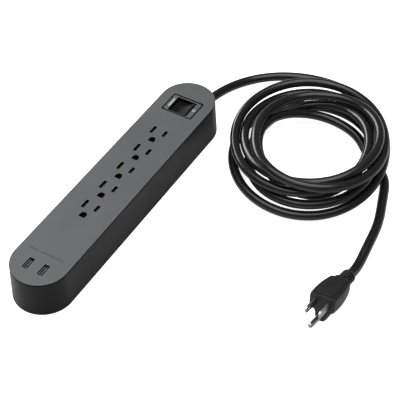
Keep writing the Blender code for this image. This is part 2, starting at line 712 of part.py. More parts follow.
def cord_path(step):
    """The middle of the cord: out of the housing, round the coil and into the plug's neck."""
    quarters = np.arange(len(COIL_RADII)) * math.pi / 2
    lay = np.column_stack((COIL_RADII, COIL_HEIGHTS))
    count = int(round((COIL_END - COIL_START) / math.radians(22.5)))
    turn = np.linspace(COIL_START, COIL_END, count + 1)
    radius, height = spline_through(quarters, lay, turn).T
    heading = COIL_FAR_SIDE - turn
    coil = np.column_stack((COIL_CENTRE[0] + radius * np.cos(heading),
                            COIL_CENTRE[1] + radius * np.sin(heading), height))
    neck = [tuple(plug_matrix() @ Vector((-NECK_END + along, 0.0, NECK_Z)))
            for along in (-0.012, 0.003)]
    return smooth_path(np.vstack((CORD_LEAD, coil, CORD_TAIL, neck)), step)


def power_cord():
    tube("power_cord", cord_path(CORD_STEP).tolist(), CORD_RADIUS, CORD_BLACK)


def cord_clamp():
    low, high = 0.0114, 0.0165
    clamp = boxes("cord_clamp", [((CLAMP_X - 0.0035, -0.0115, low), (CLAMP_X + 0.0035, 0.0115, high))],
                  BLACK_PLASTIC)
    along = [((CLAMP_X - 0.006, 0.0, CORD_EXIT_Z), (CLAMP_X + 0.006, 0.0, CORD_EXIT_Z))]
    cut(clamp, rods("clamp_groove_cutter", CORD_RADIUS + 0.0004, along, sides=16))
    holes = [((CLAMP_X, y, low - 0.001), (CLAMP_X, y, high + 0.001))
             for y in (CLAMP_SCREW_Y, -CLAMP_SCREW_Y)]
    cut(clamp, rods("clamp_hole_cutters", 0.0013, holes, sides=12))
    top = high + GAP
    profile = ((0.0, top + 0.0015), (0.0018, top + 0.0015), (0.0024, top + 0.0010), (0.0024, top),
               (0.0008, top), (0.0008, 0.0043), (0.0, 0.0039))
    for number, y in enumerate((CLAMP_SCREW_Y, -CLAMP_SCREW_Y), 1):
        screw = recessed_screw("clamp_screw_%d" % number, profile, top + 0.0008, top + 0.003)
        move_with_cutters(screw, (CLAMP_X, y, 0.0))


def inner_wires():
    routes = {
        "line_wire": (WIRE_BLACK, ((0.1300, -0.0020, 0.0103), (0.1255, -0.0020, 0.0085),
                                   (0.1205, -0.0010, 0.0062), (0.1143, -0.0002, 0.0057))),
        "load_wire": (WIRE_BLACK, ((0.1068, -0.0076, 0.0060), (0.0985, -0.0085, 0.0067),
                                   (0.0915, -0.0080, 0.0127), (0.0875, -0.0066, 0.0172),
                                   (0.0846, -0.0066, 0.0181))),
        "neutral_wire": (WIRE_WHITE, ((0.1297, 0.0020, 0.0103), (0.1245, 0.0055, 0.0075),
                                      (0.1180, 0.0120, 0.0058), (0.1050, 0.0135, 0.0058),
                                      (0.0940, 0.0110, 0.0090), (0.0880, 0.0072, 0.0168),
                                      (0.0846, 0.0066, 0.0181))),
        "ground_wire": (WIRE_GREEN, ((0.1300, 0.0, 0.0067), (0.1250, 0.0005, 0.0052),
                                     (0.1180, 0.0030, 0.0046), (0.1000, 0.0035, 0.0046),
                                     (0.0920, 0.0010, 0.0058), (0.0880, 0.0, 0.0104),
                                     (0.0851, 0.0, 0.0121))),
        "usb_hot_wire": (WIRE_BLACK, ((-0.0566, -0.0066, 0.0187), (-0.0670, -0.0075, 0.0189),
                                      (-0.0750, -0.0085, 0.0207), (-0.0804, -0.0090, 0.0212))),
        "usb_neutral_wire": (WIRE_WHITE, ((-0.0566, 0.0066, 0.0187), (-0.0670, 0.0075, 0.0189),
                                          (-0.0750, 0.0085, 0.0207), (-0.0804, 0.0090, 0.0212))),
    }
    for name, (spec, points) in routes.items():
        tube(name, smooth_path(points, 0.003).tolist(), 0.0011, spec)


# ---------------------------------------------------------------- plug

def plug_frame():
    """An empty at the middle of the plug's face, +X out of the face, +Z away from the ground pin."""
    empty = bpy.data.objects.new("plug_frame", None)
    PARTS.objects.link(empty)
    empty.location = PLUG_PLACE
    empty.rotation_euler = (PLUG_ROLL, PLUG_PITCH, PLUG_YAW)
    return empty


def plug_section(x, half_width, top, shelf, bottom):
    """A ring of points: a flat box down to the shelf and a round lobe below it."""
    half = [(half_width * 0.5, top), (half_width - 0.0022, top), (half_width - 0.0007, top - 0.0002),
            (half_width, top - 0.0012), (half_width, shelf + 0.0018),
            (half_width - 0.0010, shelf + 0.0002), (0.0068, shelf - 0.0008),
            (0.0056, shelf - 0.0030), (0.0053, bottom + 0.0032), (0.0036, bottom + 0.0008),
            (0.0012, bottom)]
    ring = half + [(-y, z) for y, z in reversed(half)]
    return [(x, y, z) for y, z in ring]


def neck_section(x, radius):
    """A round ring whose points follow those of plug_section."""
    turns = [math.pi / 2 - math.pi * (i + 0.5) / 11 for i in range(11)]
    half = [(radius * math.cos(a), NECK_Z + radius * math.sin(a)) for a in turns]
    ring = half + [(-y, z) for y, z in reversed(half)]
    return [(x, y, z) for y, z in ring]


def plug_body():
    """The moulded body, lofted along the plug from its face to the end of its grooved neck."""
    sections = [
        plug_section(0.0020, 0.0118, 0.0070, -0.0068, -0.0180),
        plug_section(-0.0010, 0.0122, 0.0073, -0.0068, -0.0182),
        plug_section(-0.0120, 0.0128, 0.0076, -0.0068, -0.0180),
        plug_section(-0.0240, 0.0118, 0.0076, -0.0062, -0.0150),
        plug_section(-0.0330, 0.0100, 0.0075, -0.0050, -0.0112),
        plug_section(-0.0346, 0.0096, 0.0074, -0.0048, -0.0104),
        neck_section(-0.0350, 0.0070),
        neck_section(-0.0362, 0.0067),
    ]
    for x in (-0.0392, -0.0428, -0.0464):
        sections.append(neck_section(x, 0.0066))
        sections.append(neck_section(x - 0.0004, 0.0056))
        sections.append(neck_section(x - 0.0012, 0.0056))
        sections.append(neck_section(x - 0.0016, 0.0066))
    sections.append(neck_section(0.0008 - NECK_END, 0.0065))
    sections.append(neck_section(-NECK_END, 0.0060))
    bm = bmesh.new()
    rings = [[bm.verts.new(point) for point in section] for section in sections]
    for front, back in zip(rings, rings[1:]):
        for i in range(len(front)):
            j = (i + 1) % len(front)
            bm.faces.new((front[i], front[j], back[j], back[i]))
    bm.faces.new(rings[0])
    bm.faces.new(rings[-1])
    bmesh.ops.recalc_face_normals(bm, faces=bm.faces)
    body = add_bmesh("plug_body", bm, BLACK_PLASTIC, math.radians(40))
    smooth = body.modifiers.new("soft", "SUBSURF")
    smooth.levels = 1
    smooth.render_levels = 1
    cut(body, boxes("plug_face_cutter", [((0.0, -0.020, -0.030), (0.010, 0.020, 0.020))]))
    half_y, half_z = BLADE_THICKNESS / 2 + GAP, BLADE_WIDTH / 2 + GAP
    pockets = [((-BLADE_ROOT - GAP, side * BLADE_SPACING / 2 - half_y, -half_z),
                (0.003, side * BLADE_SPACING / 2 + half_y, half_z)) for side in (1, -1)]
    cut(body, boxes("blade_pocket_cutters", pockets))
    pin = [((-BLADE_ROOT - GAP, 0.0, -GROUND_OFFSET), (0.003, 0.0, -GROUND_OFFSET))]
    cut(body, rods("pin_pocket_cutter", PIN_RADIUS + GAP, pin))
    cord = [((-NECK_END - 0.003, 0.0, NECK_Z), (-NECK_END + 0.0040, 0.0, NECK_Z))]
    cut(body, rods("cord_pocket_cutter", CORD_RADIUS + 0.0005, cord, sides=12))
    return body


def plug_blade(name, side):
    half = BLADE_WIDTH / 2
    tip = BLADE_LENGTH
    outline = [(-BLADE_ROOT, -half), (tip - 0.0022, -half), (tip, -half + 0.0014),
               (tip, half - 0.0014), (tip - 0.0022, half), (-BLADE_ROOT, half)]
    blade = prism(name, outline, -BLADE_THICKNESS / 2, BLADE_THICKNESS / 2, NICKEL)
    hole = rods(name + "_hole_cutter", 0.0016, [((0.0117, 0.0, -0.002), (0.0117, 0.0, 0.002))],
                sides=16)
    cut(blade, hole)
    upright = Matrix.Rotation(math.pi / 2, 4, "X")
    blade.data.transform(upright)
    hole.data.transform(upright)
    for piece in (blade, hole):
        piece.location = (0.0, side * BLADE_SPACING / 2, 0.0)
    return blade


def ground_pin():
    profile = [(PIN_RADIUS * math.sin(a), PIN_LENGTH - PIN_RADIUS * (1 - math.cos(a)))
               for a in (math.radians(d) for d in (0, 30, 60, 90))]
    profile += [(PIN_RADIUS, -BLADE_ROOT), (0.0, -BLADE_ROOT)]
    pin = turned("plug_ground_pin", profile, NICKEL, steps=20)
    channel = boxes("pin_channel_cutter", [((-0.004, -0.0008, -BLADE_ROOT - 0.001),
                                            (0.0006, 0.0008, PIN_LENGTH - 0.0040))])
    cut(pin, channel)
    for piece in (pin, channel):
        piece.rotation_euler = (0.0, math.pi / 2, 0.0)
        piece.location = (0.0, 0.0, -GROUND_OFFSET)
    return pin


def plug():
    frame = plug_frame()
    attach(plug_body(), frame)
    attach(plug_blade("plug_neutral_blade", 1), frame)
    attach(plug_blade("plug_hot_blade", -1), frame)
    attach(ground_pin(), frame)


clear_scene()
PARTS = new_collection("power_strip")
CUTTERS = new_collection("cutters")
housing_shell()
top_plate()
base_cover()
housing_screws()
contact_carrier()
blade_bus("neutral_bus", 1, 0.0080)
blade_bus("hot_bus", -1, 0.0068)
ground_bus()
switch_bezel()
switch_housing()
rocker()
contact_arm()
switch_terminals()
usb_board()
board_screws()
usb_ports()
transformer()
board_components()
power_cord()
cord_clamp()
inner_wires()
plug()
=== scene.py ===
"""A power strip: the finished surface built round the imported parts, in metres, +Z up."""

import json
import math

import bmesh
import bpy
import numpy as np
from mathutils import Matrix, Vector


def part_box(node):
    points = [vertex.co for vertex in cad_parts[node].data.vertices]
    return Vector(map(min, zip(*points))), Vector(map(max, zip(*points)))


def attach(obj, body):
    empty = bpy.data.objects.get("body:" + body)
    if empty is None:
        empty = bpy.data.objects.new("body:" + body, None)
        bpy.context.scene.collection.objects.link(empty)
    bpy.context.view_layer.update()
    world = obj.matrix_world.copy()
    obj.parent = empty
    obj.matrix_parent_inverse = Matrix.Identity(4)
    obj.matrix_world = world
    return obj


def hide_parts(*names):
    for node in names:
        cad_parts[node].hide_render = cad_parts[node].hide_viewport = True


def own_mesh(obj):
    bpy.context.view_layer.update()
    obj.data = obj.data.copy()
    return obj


END_SEGMENTS = 56
CORNER_SEGMENTS = 6

# Housing and face plate.
WALL = 0.0024
DRAFT = 0.0015
GAP = 0.0003
FOOT_ROUND = 0.0005
RIM_ROUND = 0.0002
WALL_RINGS = (0.012, 0.024)
LEDGE_REACH = 0.0038
LEDGE_THICKNESS = 0.0020
LEDGE_CHAMFER = 0.0014
LID_THICKNESS = 0.0008
LID_REVEAL = 0.0006
PLATE_STEP = 0.0022
FACE_ROUND = 0.00015
BASE_MARGIN = 0.0010
BASE_THICKNESS = 0.0021
BOSS_RADIUS = 0.0032
BOSS_PILOT_RADIUS = 0.00135
BOSS_BOTTOM = 0.0030
BOSS_TOP = 0.0267
BOSS_PILOT_TOP = 0.0150
CORD_EXIT_CLEARANCE = 0.0005

# Outlets.
BLADE_SPACING = 0.0127
GROUND_OFFSET = 0.0119
NEUTRAL_SLOT = 0.0098
HOT_SLOT = 0.0078
SLOT_WIDTH = 0.0030
SLOT_CORNER = 0.00035
GROUND_HOLE = 0.0062
GROUND_CORNER = 0.0004
MOUTH_LIP = 0.00014

# Printed strokes: where they lie between the last ground hole and the ports, and their groups.
STROKE_PLACE = 0.846
STROKE_GROUPS = ((0.0177, 0.0090), (0.0061, -0.0090), (-0.0101, -0.0171))
STROKE_HALF_HEIGHTS = (0.00095, 0.00070, 0.00085, 0.00110, 0.00075)
STROKE_WIDTH = 0.00042
STROKE_STEP = 0.00078
STROKE_RELIEF = 0.00002

# Switch.
FRAME_GAP = 0.0013
FRAME_HOLE_CORNER = 0.0014
FRAME_CORNER = 0.0010
FRAME_ROUND = 0.00025
FRAME_INNER_ROUND = 0.00015
MARK_RELIEF = 0.00003
BAR_HALF_LENGTH = 0.0058
BAR_FROM_EDGE = (0.0037, 0.0024)
RING_FROM_EDGE = 0.0026
RING_RADII = (0.00150, 0.00085)
ROCKER_WIDTH = 0.0188
ROCKER_HALF_LENGTH = 0.0095
ROCKER_END_RISE = 0.00355
ROCKER_MIDDLE_RISE = 0.0019
ROCKER_FOOT = ((0.0022, -0.0080), (0.0028, -0.0034))
ROCKER_SKIRT = math.radians(18)
ROCKER_CREST = (0.00045, 0.00012)
ROCKER_EDGE = 0.00035
TRUNNION_RADIUS = 0.0015
TRUNNION_REACH = 0.0106
PIN_BORE_RADIUS = 0.00155
PIN_BORE = (-0.009, -0.0030)
ROCKER_GAP = 0.0003
ROCKER_SIDE_GAP = 0.0011
ROCKER_TILT = math.radians(11)
SPRING_TURNS = 3
SPRING_RADIUS = 0.00095
SPRING_WIRE_RADIUS = 0.0002
SPRING_TOP = -0.0035
SPRING_BOTTOM = -0.0055

# Charging ports.
PORT_WALL = 0.00035
PORT_MARGIN = 0.0001
PORT_HOLE_CORNER = 0.0006
PORT_CORNER = 0.0007
TAB_PLACE = 0.0028
TAB_HALF_WIDTH = 0.0008
TAB_REACH = 0.00045
TONGUE_BLOCK = 0.0025
TONGUE_HALF_LENGTH = 0.0052
TONGUE_SIDES = (-0.0003, 0.0017)
RAIL_HALF_LENGTH = 0.0049
RAIL_HALF_WIDTH = 0.00016
RAIL_SIDES = (-0.0004, 0.0018)

# Cord and plug.
CORD_RADIUS = 0.0045
CORD_SIDES = 24
CORD_STEP = 0.003
BLADE_LENGTH = 0.0175
BLADE_WIDTH = 0.0064
BLADE_THICKNESS = 0.0015
BLADE_ROOT = 0.0060
BLADE_EDGE = 0.00018
BLADE_TIP = (0.0022, 0.0014)
BLADE_HOLE_X = 0.0117
BLADE_HOLE_RADIUS = 0.0016
PIN_LENGTH = 0.0205
PIN_RADIUS = 0.0024
PIN_CHANNEL_HALF_WIDTH = 0.0008
PIN_SOLID_TIP = 0.0040
NECK_END = 0.0515
NECK_Z = 0.0012
NECK_RADIUS = 0.0067
GROOVE_RADIUS = 0.0054
GROOVE_SHADE_RADIUS = 0.0061
GROOVE_STARTS = (-0.0390, -0.0426, -0.0462)

# Cross-sections of the plug: place along it, half width, top, shelf and bottom.
PLUG_SECTIONS = (
    (0.0020, 0.0118, 0.0070, -0.0068, -0.0180),
    (-0.0010, 0.0122, 0.0073, -0.0068, -0.0182),
    (-0.0120, 0.0128, 0.0076, -0.0068, -0.0180),
    (-0.0240, 0.0118, 0.0076, -0.0062, -0.0150),
    (-0.0330, 0.0100, 0.0075, -0.0050, -0.0112),
    (-0.0346, 0.0096, 0.0074, -0.0048, -0.0104))

# The raised panel on the plug: place along it, half width and top.
PANEL_STATIONS = (
    (-0.0035, 0.0074, 0.0078), (-0.0045, 0.0078, 0.0082), (-0.0120, 0.0082, 0.0086),
    (-0.0200, 0.0076, 0.0086), (-0.0280, 0.0066, 0.0085), (-0.0345, 0.0058, 0.0083),
    (-0.0372, 0.0052, 0.0078))

# Stage: how much lighter than its own shading the floor looks to the camera, how pale it is in
# reflections, and the strength of the surround as fill light and in reflections.
FLOOR_LIFT = 0.80
FLOOR_IN_REFLECTIONS = 0.60
FILL_STRENGTH = 0.55
SHINE_STRENGTH = 0.16
FLOOR_SIZE = 4.0
FLOOR_Z = -0.0002

# Camera.
VIEW_AZIMUTH = math.radians(-58.284)
VIEW_ELEVATION = math.radians(45.945)
VIEW_ROLL = math.radians(-0.868)
VIEW_DISTANCE = 1.14968
VIEW_TARGET = (0.04256, -0.06039, 0.0)
LENS = 110.81


# ---------------------------------------------------------------- node materials

def node(owner, kind, inputs=(), **settings):
    """A shader node of a material or world; each input is a value or another node's output."""
    made = owner.node_tree.nodes.new(kind)
    for key, value in settings.items():
        setattr(made, key, value)
    for name, value in dict(inputs).items():
        if isinstance(value, bpy.types.NodeSocket):
            owner.node_tree.links.new(value, made.inputs[name])
        else:
            made.inputs[name].default_value = value
    return made


def empty_material(name):
    material = bpy.data.materials.new(name)
    material.use_nodes = True
    material.node_tree.nodes.clear()
    return material


def finish_material(material, shader):
    node(material, "ShaderNodeOutputMaterial", {"Surface": shader})
    return material


def noise(material, where, scale, detail=3.0, roughness=0.5):
    """A grey noise between 0 and 1 with features about 1 / scale metres wide."""
    made = node(material, "ShaderNodeTexNoise",
                {"Vector": where, "Scale": scale, "Detail": detail, "Roughness": roughness})
    return made.outputs["Fac"]


def remap(material, value, low, high, from_low=0.35, from_high=0.65):
    made = node(material, "ShaderNodeMapRange",
                {"Value": value, "From Min": from_low, "From Max": from_high,
                 "To Min": low, "To Max": high})
    return made.outputs["Result"]


def mix_colour(material, share, first, second):
    made = node(material, "ShaderNodeMix", {0: share, 6: first, 7: second}, data_type="RGBA")
    return made.outputs[2]


def rgba(colour, factor=1.0):
    return tuple(channel * factor for channel in colour) + (1.0,)


def edge_mask(material, reach):
    """1 along edges sharper than reach metres, 0 on faces."""
    rounded = node(material, "ShaderNodeBevel", {"Radius": reach}, samples=6)
    flat = node(material, "ShaderNodeNewGeometry")
    along = node(material, "ShaderNodeVectorMath",
                 {0: rounded.outputs["Normal"], 1: flat.outputs["Normal"]},
                 operation="DOT_PRODUCT")
    return remap(material, along.outputs["Value"], 1.0, 0.0, 0.90, 0.995)


def moulded(name, colour, roughness, grain=0.0002, depth=0.00002, variation=0.10, wear=0.25,
            specular=0.5, edge=0.0003):
    """Moulded plastic: fine grain in the surface, uneven polish and colour, rubbed edges."""
    m = empty_material(name)
    where = node(m, "ShaderNodeTexCoord").outputs["Object"]
    blotches = noise(m, where, 45.0, 4.0)
    speckle = noise(m, where, 1.0 / grain, 2.0, 0.6)
    smudges = noise(m, where, 22.0, 5.0, 0.65)
    tone = mix_colour(m, remap(m, blotches, 0.0, 1.0), rgba(colour, 1 - variation / 2),
                      rgba(colour, 1 + variation / 2))
    tone = mix_colour(m, remap(m, speckle, 0.0, 0.35), tone, rgba(colour, 1 - variation))
    edges = edge_mask(m, edge)
    broken = node(m, "ShaderNodeMath", {0: edges, 1: remap(m, noise(m, where, 900.0), 0.2, 1.0)},
                  operation="MULTIPLY").outputs[0]
    rubbed = node(m, "ShaderNodeMath", {0: broken, 1: wear}, operation="MULTIPLY").outputs[0]
    tone = mix_colour(m, rubbed, tone, rgba(colour, 1.9))
    polish = remap(m, smudges, roughness * 0.88, roughness * 1.12)
    bump = node(m, "ShaderNodeBump", {"Height": speckle, "Distance": depth, "Strength": 0.8})
    shader = node(m, "ShaderNodeBsdfPrincipled",
                  {"Base Color": tone, "Roughness": polish, "Normal": bump.outputs["Normal"],
                   "Specular IOR Level": specular})
    return finish_material(m, shader.outputs["BSDF"])


def metal(name, colour, roughness, brush=(1.0, 1.0, 1.0), tarnish=0.3, scratch=0.00001):
    """Bare metal: brushed along one way, duller and darker in patches."""
    m = empty_material(name)
    where = node(m, "ShaderNodeTexCoord").outputs["Object"]
    stretched = node(m, "ShaderNodeMapping", {"Vector": where, "Scale": brush}).outputs["Vector"]
    lines = noise(m, stretched, 2500.0, 2.0)
    patches = noise(m, where, 260.0, 5.0, 0.7)
    tone = mix_colour(m, remap(m, patches, 0.0, tarnish, 0.45, 0.75), rgba(colour),
                      rgba(colour, 0.45))
    tone = mix_colour(m, remap(m, lines, 0.0, 0.25), tone, rgba(colour, 0.7))
    uneven = remap(m, patches, roughness * 0.8, roughness * 1.4)
    bump = node(m, "ShaderNodeBump", {"Height": lines, "Distance": scratch, "Strength": 0.7})
    shader = node(m, "ShaderNodeBsdfPrincipled",
                  {"Base Color": tone, "Metallic": 1.0, "Roughness": uneven,
                   "Normal": bump.outputs["Normal"]})
    return finish_material(m, shader.outputs["BSDF"])


def vinyl(name, colour, roughness, lay=0.0):
    """Extruded vinyl: glossy, with faint drawing lines and a slow ripple."""
    m = empty_material(name)
    where = node(m, "ShaderNodeTexCoord").outputs["Object"]
    ripple = noise(m, where, 110.0, 2.0)
    fine = noise(m, where, 2600.0, 2.0, 0.6)
    dust = noise(m, where, 700.0, 5.0, 0.7)
    tone = mix_colour(m, remap(m, ripple, 0.0, 1.0), rgba(colour, 0.85), rgba(colour, 1.15))
    tone = mix_colour(m, remap(m, dust, 0.0, 0.25, 0.58, 0.75), tone, rgba(colour, 2.2))
    polish = remap(m, dust, roughness * 0.85, roughness * 1.3)
    height = node(m, "ShaderNodeMath", {0: fine, 1: 0.03}, operation="MULTIPLY").outputs[0]
    if lay:
        height = node(m, "ShaderNodeMath", {0: height, 1: remap(m, ripple, 0.0, lay)},
                      operation="ADD").outputs[0]
    bump = node(m, "ShaderNodeBump", {"Height": height, "Distance": 0.0001, "Strength": 0.6})
    shader = node(m, "ShaderNodeBsdfPrincipled",
                  {"Base Color": tone, "Roughness": polish, "Normal": bump.outputs["Normal"],
                   "Specular IOR Level": 0.5})
    return finish_material(m, shader.outputs["BSDF"])


def board_green():
    """A solder-masked board: green, with paler tracks under the mask and a woven ground."""
    m = empty_material("board_green")
    where = node(m, "ShaderNodeTexCoord").outputs["Object"]
    tracks = node(m, "ShaderNodeTexBrick",
                  {"Vector": where, "Scale": 260.0, "Mortar Size": 0.035,
                   "Color1": rgba((0.015, 0.13, 0.05)), "Color2": rgba((0.02, 0.17, 0.07)),
                   "Mortar": rgba((0.06, 0.32, 0.12))})
    weave = node(m, "ShaderNodeTexWave", {"Vector": where, "Scale": 900.0, "Distortion": 1.0})
    polish = remap(m, noise(m, where, 120.0), 0.28, 0.45)
    bump = node(m, "ShaderNodeBump",
                {"Height": weave.outputs["Fac"], "Distance": 0.00002, "Strength": 0.4})
    shader = node(m, "ShaderNodeBsdfPrincipled",
                  {"Base Color": tracks.outputs["Color"], "Roughness": polish,
                   "Normal": bump.outputs["Normal"]})
    return finish_material(m, shader.outputs["BSDF"])


def winding_tape():
    """Yellow polyester tape in overlapping turns."""
    m = empty_material("tape_yellow")
    where = node(m, "ShaderNodeTexCoord").outputs["Object"]
    turns = node(m, "ShaderNodeTexWave", {"Vector": where, "Scale": 180.0, "Distortion": 2.0},
                 bands_direction="Y")
    colour = (0.75, 0.55, 0.06)
    tone = mix_colour(m, remap(m, turns.outputs["Fac"], 0.0, 1.0, 0.0, 0.3), rgba(colour, 0.6),
                      rgba(colour))
    polish = remap(m, noise(m, where, 300.0), 0.3, 0.55)
    bump = node(m, "ShaderNodeBump",
                {"Height": turns.outputs["Fac"], "Distance": 0.0001, "Strength": 0.5})
    shader = node(m, "ShaderNodeBsdfPrincipled",
                  {"Base Color": tone, "Roughness": polish, "Normal": bump.outputs["Normal"]})
    return finish_material(m, shader.outputs["BSDF"])


def make_looks():
    """One finish for each material slot of the record, and a few for details."""
    return {
        "face_grey": moulded("face_grey", (0.071, 0.072, 0.076), 0.50, 0.00018, 0.000012, 0.06,
                             0.15),
        # Partly painted shade: the housing's own black is made darker still, so its sides show the shade they
        # stand in beside the lit face.
        "shell_black": moulded("shell_black", (0.003, 0.003, 0.0032), 0.34, 0.00025, 0.000008,
                               0.15, 0.25, 0.19),
        "carrier_black": moulded("carrier_black", (0.006, 0.006, 0.006), 0.5, specular=0.2),
        # Painted shade: a near-black for the walls of the face's holes, the switch frame's walls, the rocker's
        # sides and the plug's grooves, where shade falls.
        "slot_wall": moulded("slot_wall", (0.003, 0.003, 0.0032), 0.60, 0.0002, 0.00001, 0.1, 0.1,
                             0.08),
        "brass": metal("brass", (0.72, 0.52, 0.22), 0.3, (1.0, 12.0, 12.0)),
        "steel": metal("steel", (0.55, 0.56, 0.58), 0.35, (1.0, 1.0, 8.0)),
        "nickel": metal("nickel", (0.52, 0.49, 0.46), 0.32, (0.15, 1.0, 1.0), 0.2),
        "board_green": board_green(),
        "ferrite": moulded("ferrite", (0.05, 0.05, 0.055), 0.6, 0.0003, 0.00004, 0.3, 0.1),
        "tape_yellow": winding_tape(),
        "cord_black": vinyl("cord_black", (0.0075, 0.0075, 0.008), 0.20, 0.10),
        "wire_black": vinyl("wire_black", (0.02, 0.02, 0.02), 0.4),
        "wire_white": vinyl("wire_white", (0.70, 0.70, 0.67), 0.4),
        "wire_green": vinyl("wire_green", (0.03, 0.28, 0.08), 0.4),
        "rocker_gloss": moulded("rocker_gloss", (0.006, 0.0058, 0.0058), 0.45, 0.0004, 0.000003,
                                0.15, 0.3, 0.08),
        "plug_vinyl": moulded("plug_vinyl", (0.010, 0.010, 0.0105), 0.42, 0.0003, 0.00002, 0.2,
                              0.4, 0.40),
        "mark_pale": moulded("mark_pale", (0.42, 0.42, 0.42), 0.5, 0.0002, 0.000005),
        "mark_dark": moulded("mark_dark", (0.018, 0.018, 0.019), 0.45, 0.0002, 0.000005),
        "contact_metal": metal("contact_metal", (0.62, 0.61, 0.60), 0.35, (0.2, 1.0, 1.0)),
        "port_metal": metal("port_metal", (0.10, 0.10, 0.105), 0.40, (1.0, 1.0, 0.2)),
    }


# ---------------------------------------------------------------- mesh tools

def arc(centre, radius, start, end, steps):
    angles = [start + (end - start) * i / steps for i in range(steps + 1)]
    return [(centre[0] + radius * math.cos(a), centre[1] + radius * math.sin(a)) for a in angles]


def stadium(radius, half_straight, steps=END_SEGMENTS):
    """A long outline with two round ends, counter-clockwise from the near right corner."""
    right = arc((half_straight, 0.0), radius, -math.pi / 2, math.pi / 2, steps)
    left = arc((-half_straight, 0.0), radius, math.pi / 2, 3 * math.pi / 2, steps)
    return right + left


def rounded_rectangle(low, high, radius, steps=CORNER_SEGMENTS):
    (x0, y0), (x1, y1) = low, high
    corners = ((x1 - radius, y0 + radius, -90), (x1 - radius, y1 - radius, 0),
               (x0 + radius, y1 - radius, 90), (x0 + radius, y0 + radius, 180))
    points = []
    for x, y, start in corners:
        first = math.radians(start)
        points += arc((x, y), radius, first, first + math.pi / 2, steps)
    return points


def quarter_round(radius, steps):
    """Inset and drop of a rounded edge, from the side face to the top face."""
    angles = [math.pi / 2 * i / steps for i in range(steps + 1)]
    return [(radius * (1 - math.cos(a)), radius * (1 - math.sin(a))) for a in angles]


def loft(rings, closed=False):
    """Quads between neighbouring rings of equal length; flat caps unless it closes on itself."""
    bm = bmesh.new()
    made = [[bm.verts.new(point) for point in ring] for ring in rings]
    pairs = list(zip(made, made[1:] + made[:1])) if closed else list(zip(made, made[1:]))
    for lower, upper in pairs:
        for i in range(len(lower)):
            j = (i + 1) % len(lower)
            bm.faces.new((lower[i], lower[j], upper[j], upper[i]))
    if not closed:
        bm.faces.new(made[0])
        bm.faces.new(made[-1])
    bmesh.ops.recalc_face_normals(bm, faces=bm.faces)
    return bm


def flat_ring(outline, z):
    return [(x, y, z) for x, y in outline]


def box_mesh(low, high, round_by=0.0, segments=2):
    """A block with its edges rounded."""
    bm = bmesh.new()
    bmesh.ops.create_cube(bm, size=1.0)
    middle = [(a + b) / 2 for a, b in zip(low, high)]
    size = [b - a for a, b in zip(low, high)]
    bmesh.ops.scale(bm, vec=size, verts=bm.verts)
    bmesh.ops.translate(bm, vec=middle, verts=bm.verts)
    if round_by:
        bmesh.ops.bevel(bm, geom=bm.edges[:], offset=round_by, segments=segments, profile=0.5,
                        affect="EDGES")
    return bm


def rod_mesh(start, end, radius, sides=32):
    """A cylinder between two points."""
    start, end = Vector(start), Vector(end)
    bm = bmesh.new()
    bmesh.ops.create_cone(bm, cap_ends=True, segments=sides, radius1=radius, radius2=radius,
                          depth=(end - start).length)
    turn = (end - start).to_track_quat("Z", "Y").to_matrix().to_4x4()
    bmesh.ops.transform(bm, matrix=Matrix.Translation((start + end) / 2) @ turn, verts=bm.verts)
    return bm


def merged(*meshes):
    """Several separate shapes in one mesh."""
    whole = bmesh.new()
    for bm in meshes:
        part = bpy.data.meshes.new("part")
        bm.to_mesh(part)
        bm.free()
        whole.from_mesh(part)
        bpy.data.meshes.remove(part)
    return whole


def to_object(name, bm):
    mesh = bpy.data.meshes.new(name)
    bm.to_mesh(mesh)
    bm.free()
    made = bpy.data.objects.new(name, mesh)
    bpy.context.scene.collection.objects.link(made)
    return made


def apply_modifiers(target):
    bpy.context.view_layer.update()
    graph = bpy.context.evaluated_depsgraph_get()
    mesh = bpy.data.meshes.new_from_object(target.evaluated_get(graph))
    old = target.data
    target.modifiers.clear()
    target.data = mesh
    bpy.data.meshes.remove(old)


def combine(target, bm, operation, look=None):
    """Cuts the shape out of the target, or joins it on; its faces can have their own look."""
    tool = to_object("tool", bm)
    step = target.modifiers.new(operation.lower(), "BOOLEAN")
    step.operation = operation
    step.object = tool
    if look:
        tool.data.materials.append(LOOKS[look])
        step.material_mode = "TRANSFER"
    apply_modifiers(target)
    mesh = tool.data
    bpy.data.objects.remove(tool)
    bpy.data.meshes.remove(mesh)


def finish_piece(piece, look, body, replaces=(), angle=30.0):
    """Smooth shading with sharp edges kept, its material, and the body it rides on."""
    piece.data.shade_smooth()
    piece.data.set_sharp_from_angle(angle=math.radians(angle))
    weighted = piece.modifiers.new("flat_faces", "WEIGHTED_NORMAL")
    weighted.keep_sharp = True
    weighted.weight = 90
    if not piece.data.materials:
        piece.data.materials.append(LOOKS[look])
    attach(piece, body)
    if replaces:
        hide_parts(*replaces)
    return piece


# ---------------------------------------------------------------- housing and face

def strip_size():
    """End radius, half the straight run between the end centres, and the top's height."""
    low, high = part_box("top_plate")
    radius = (high.y - low.y) / 2
    return radius, (high.x - low.x) / 2 - radius, high.z


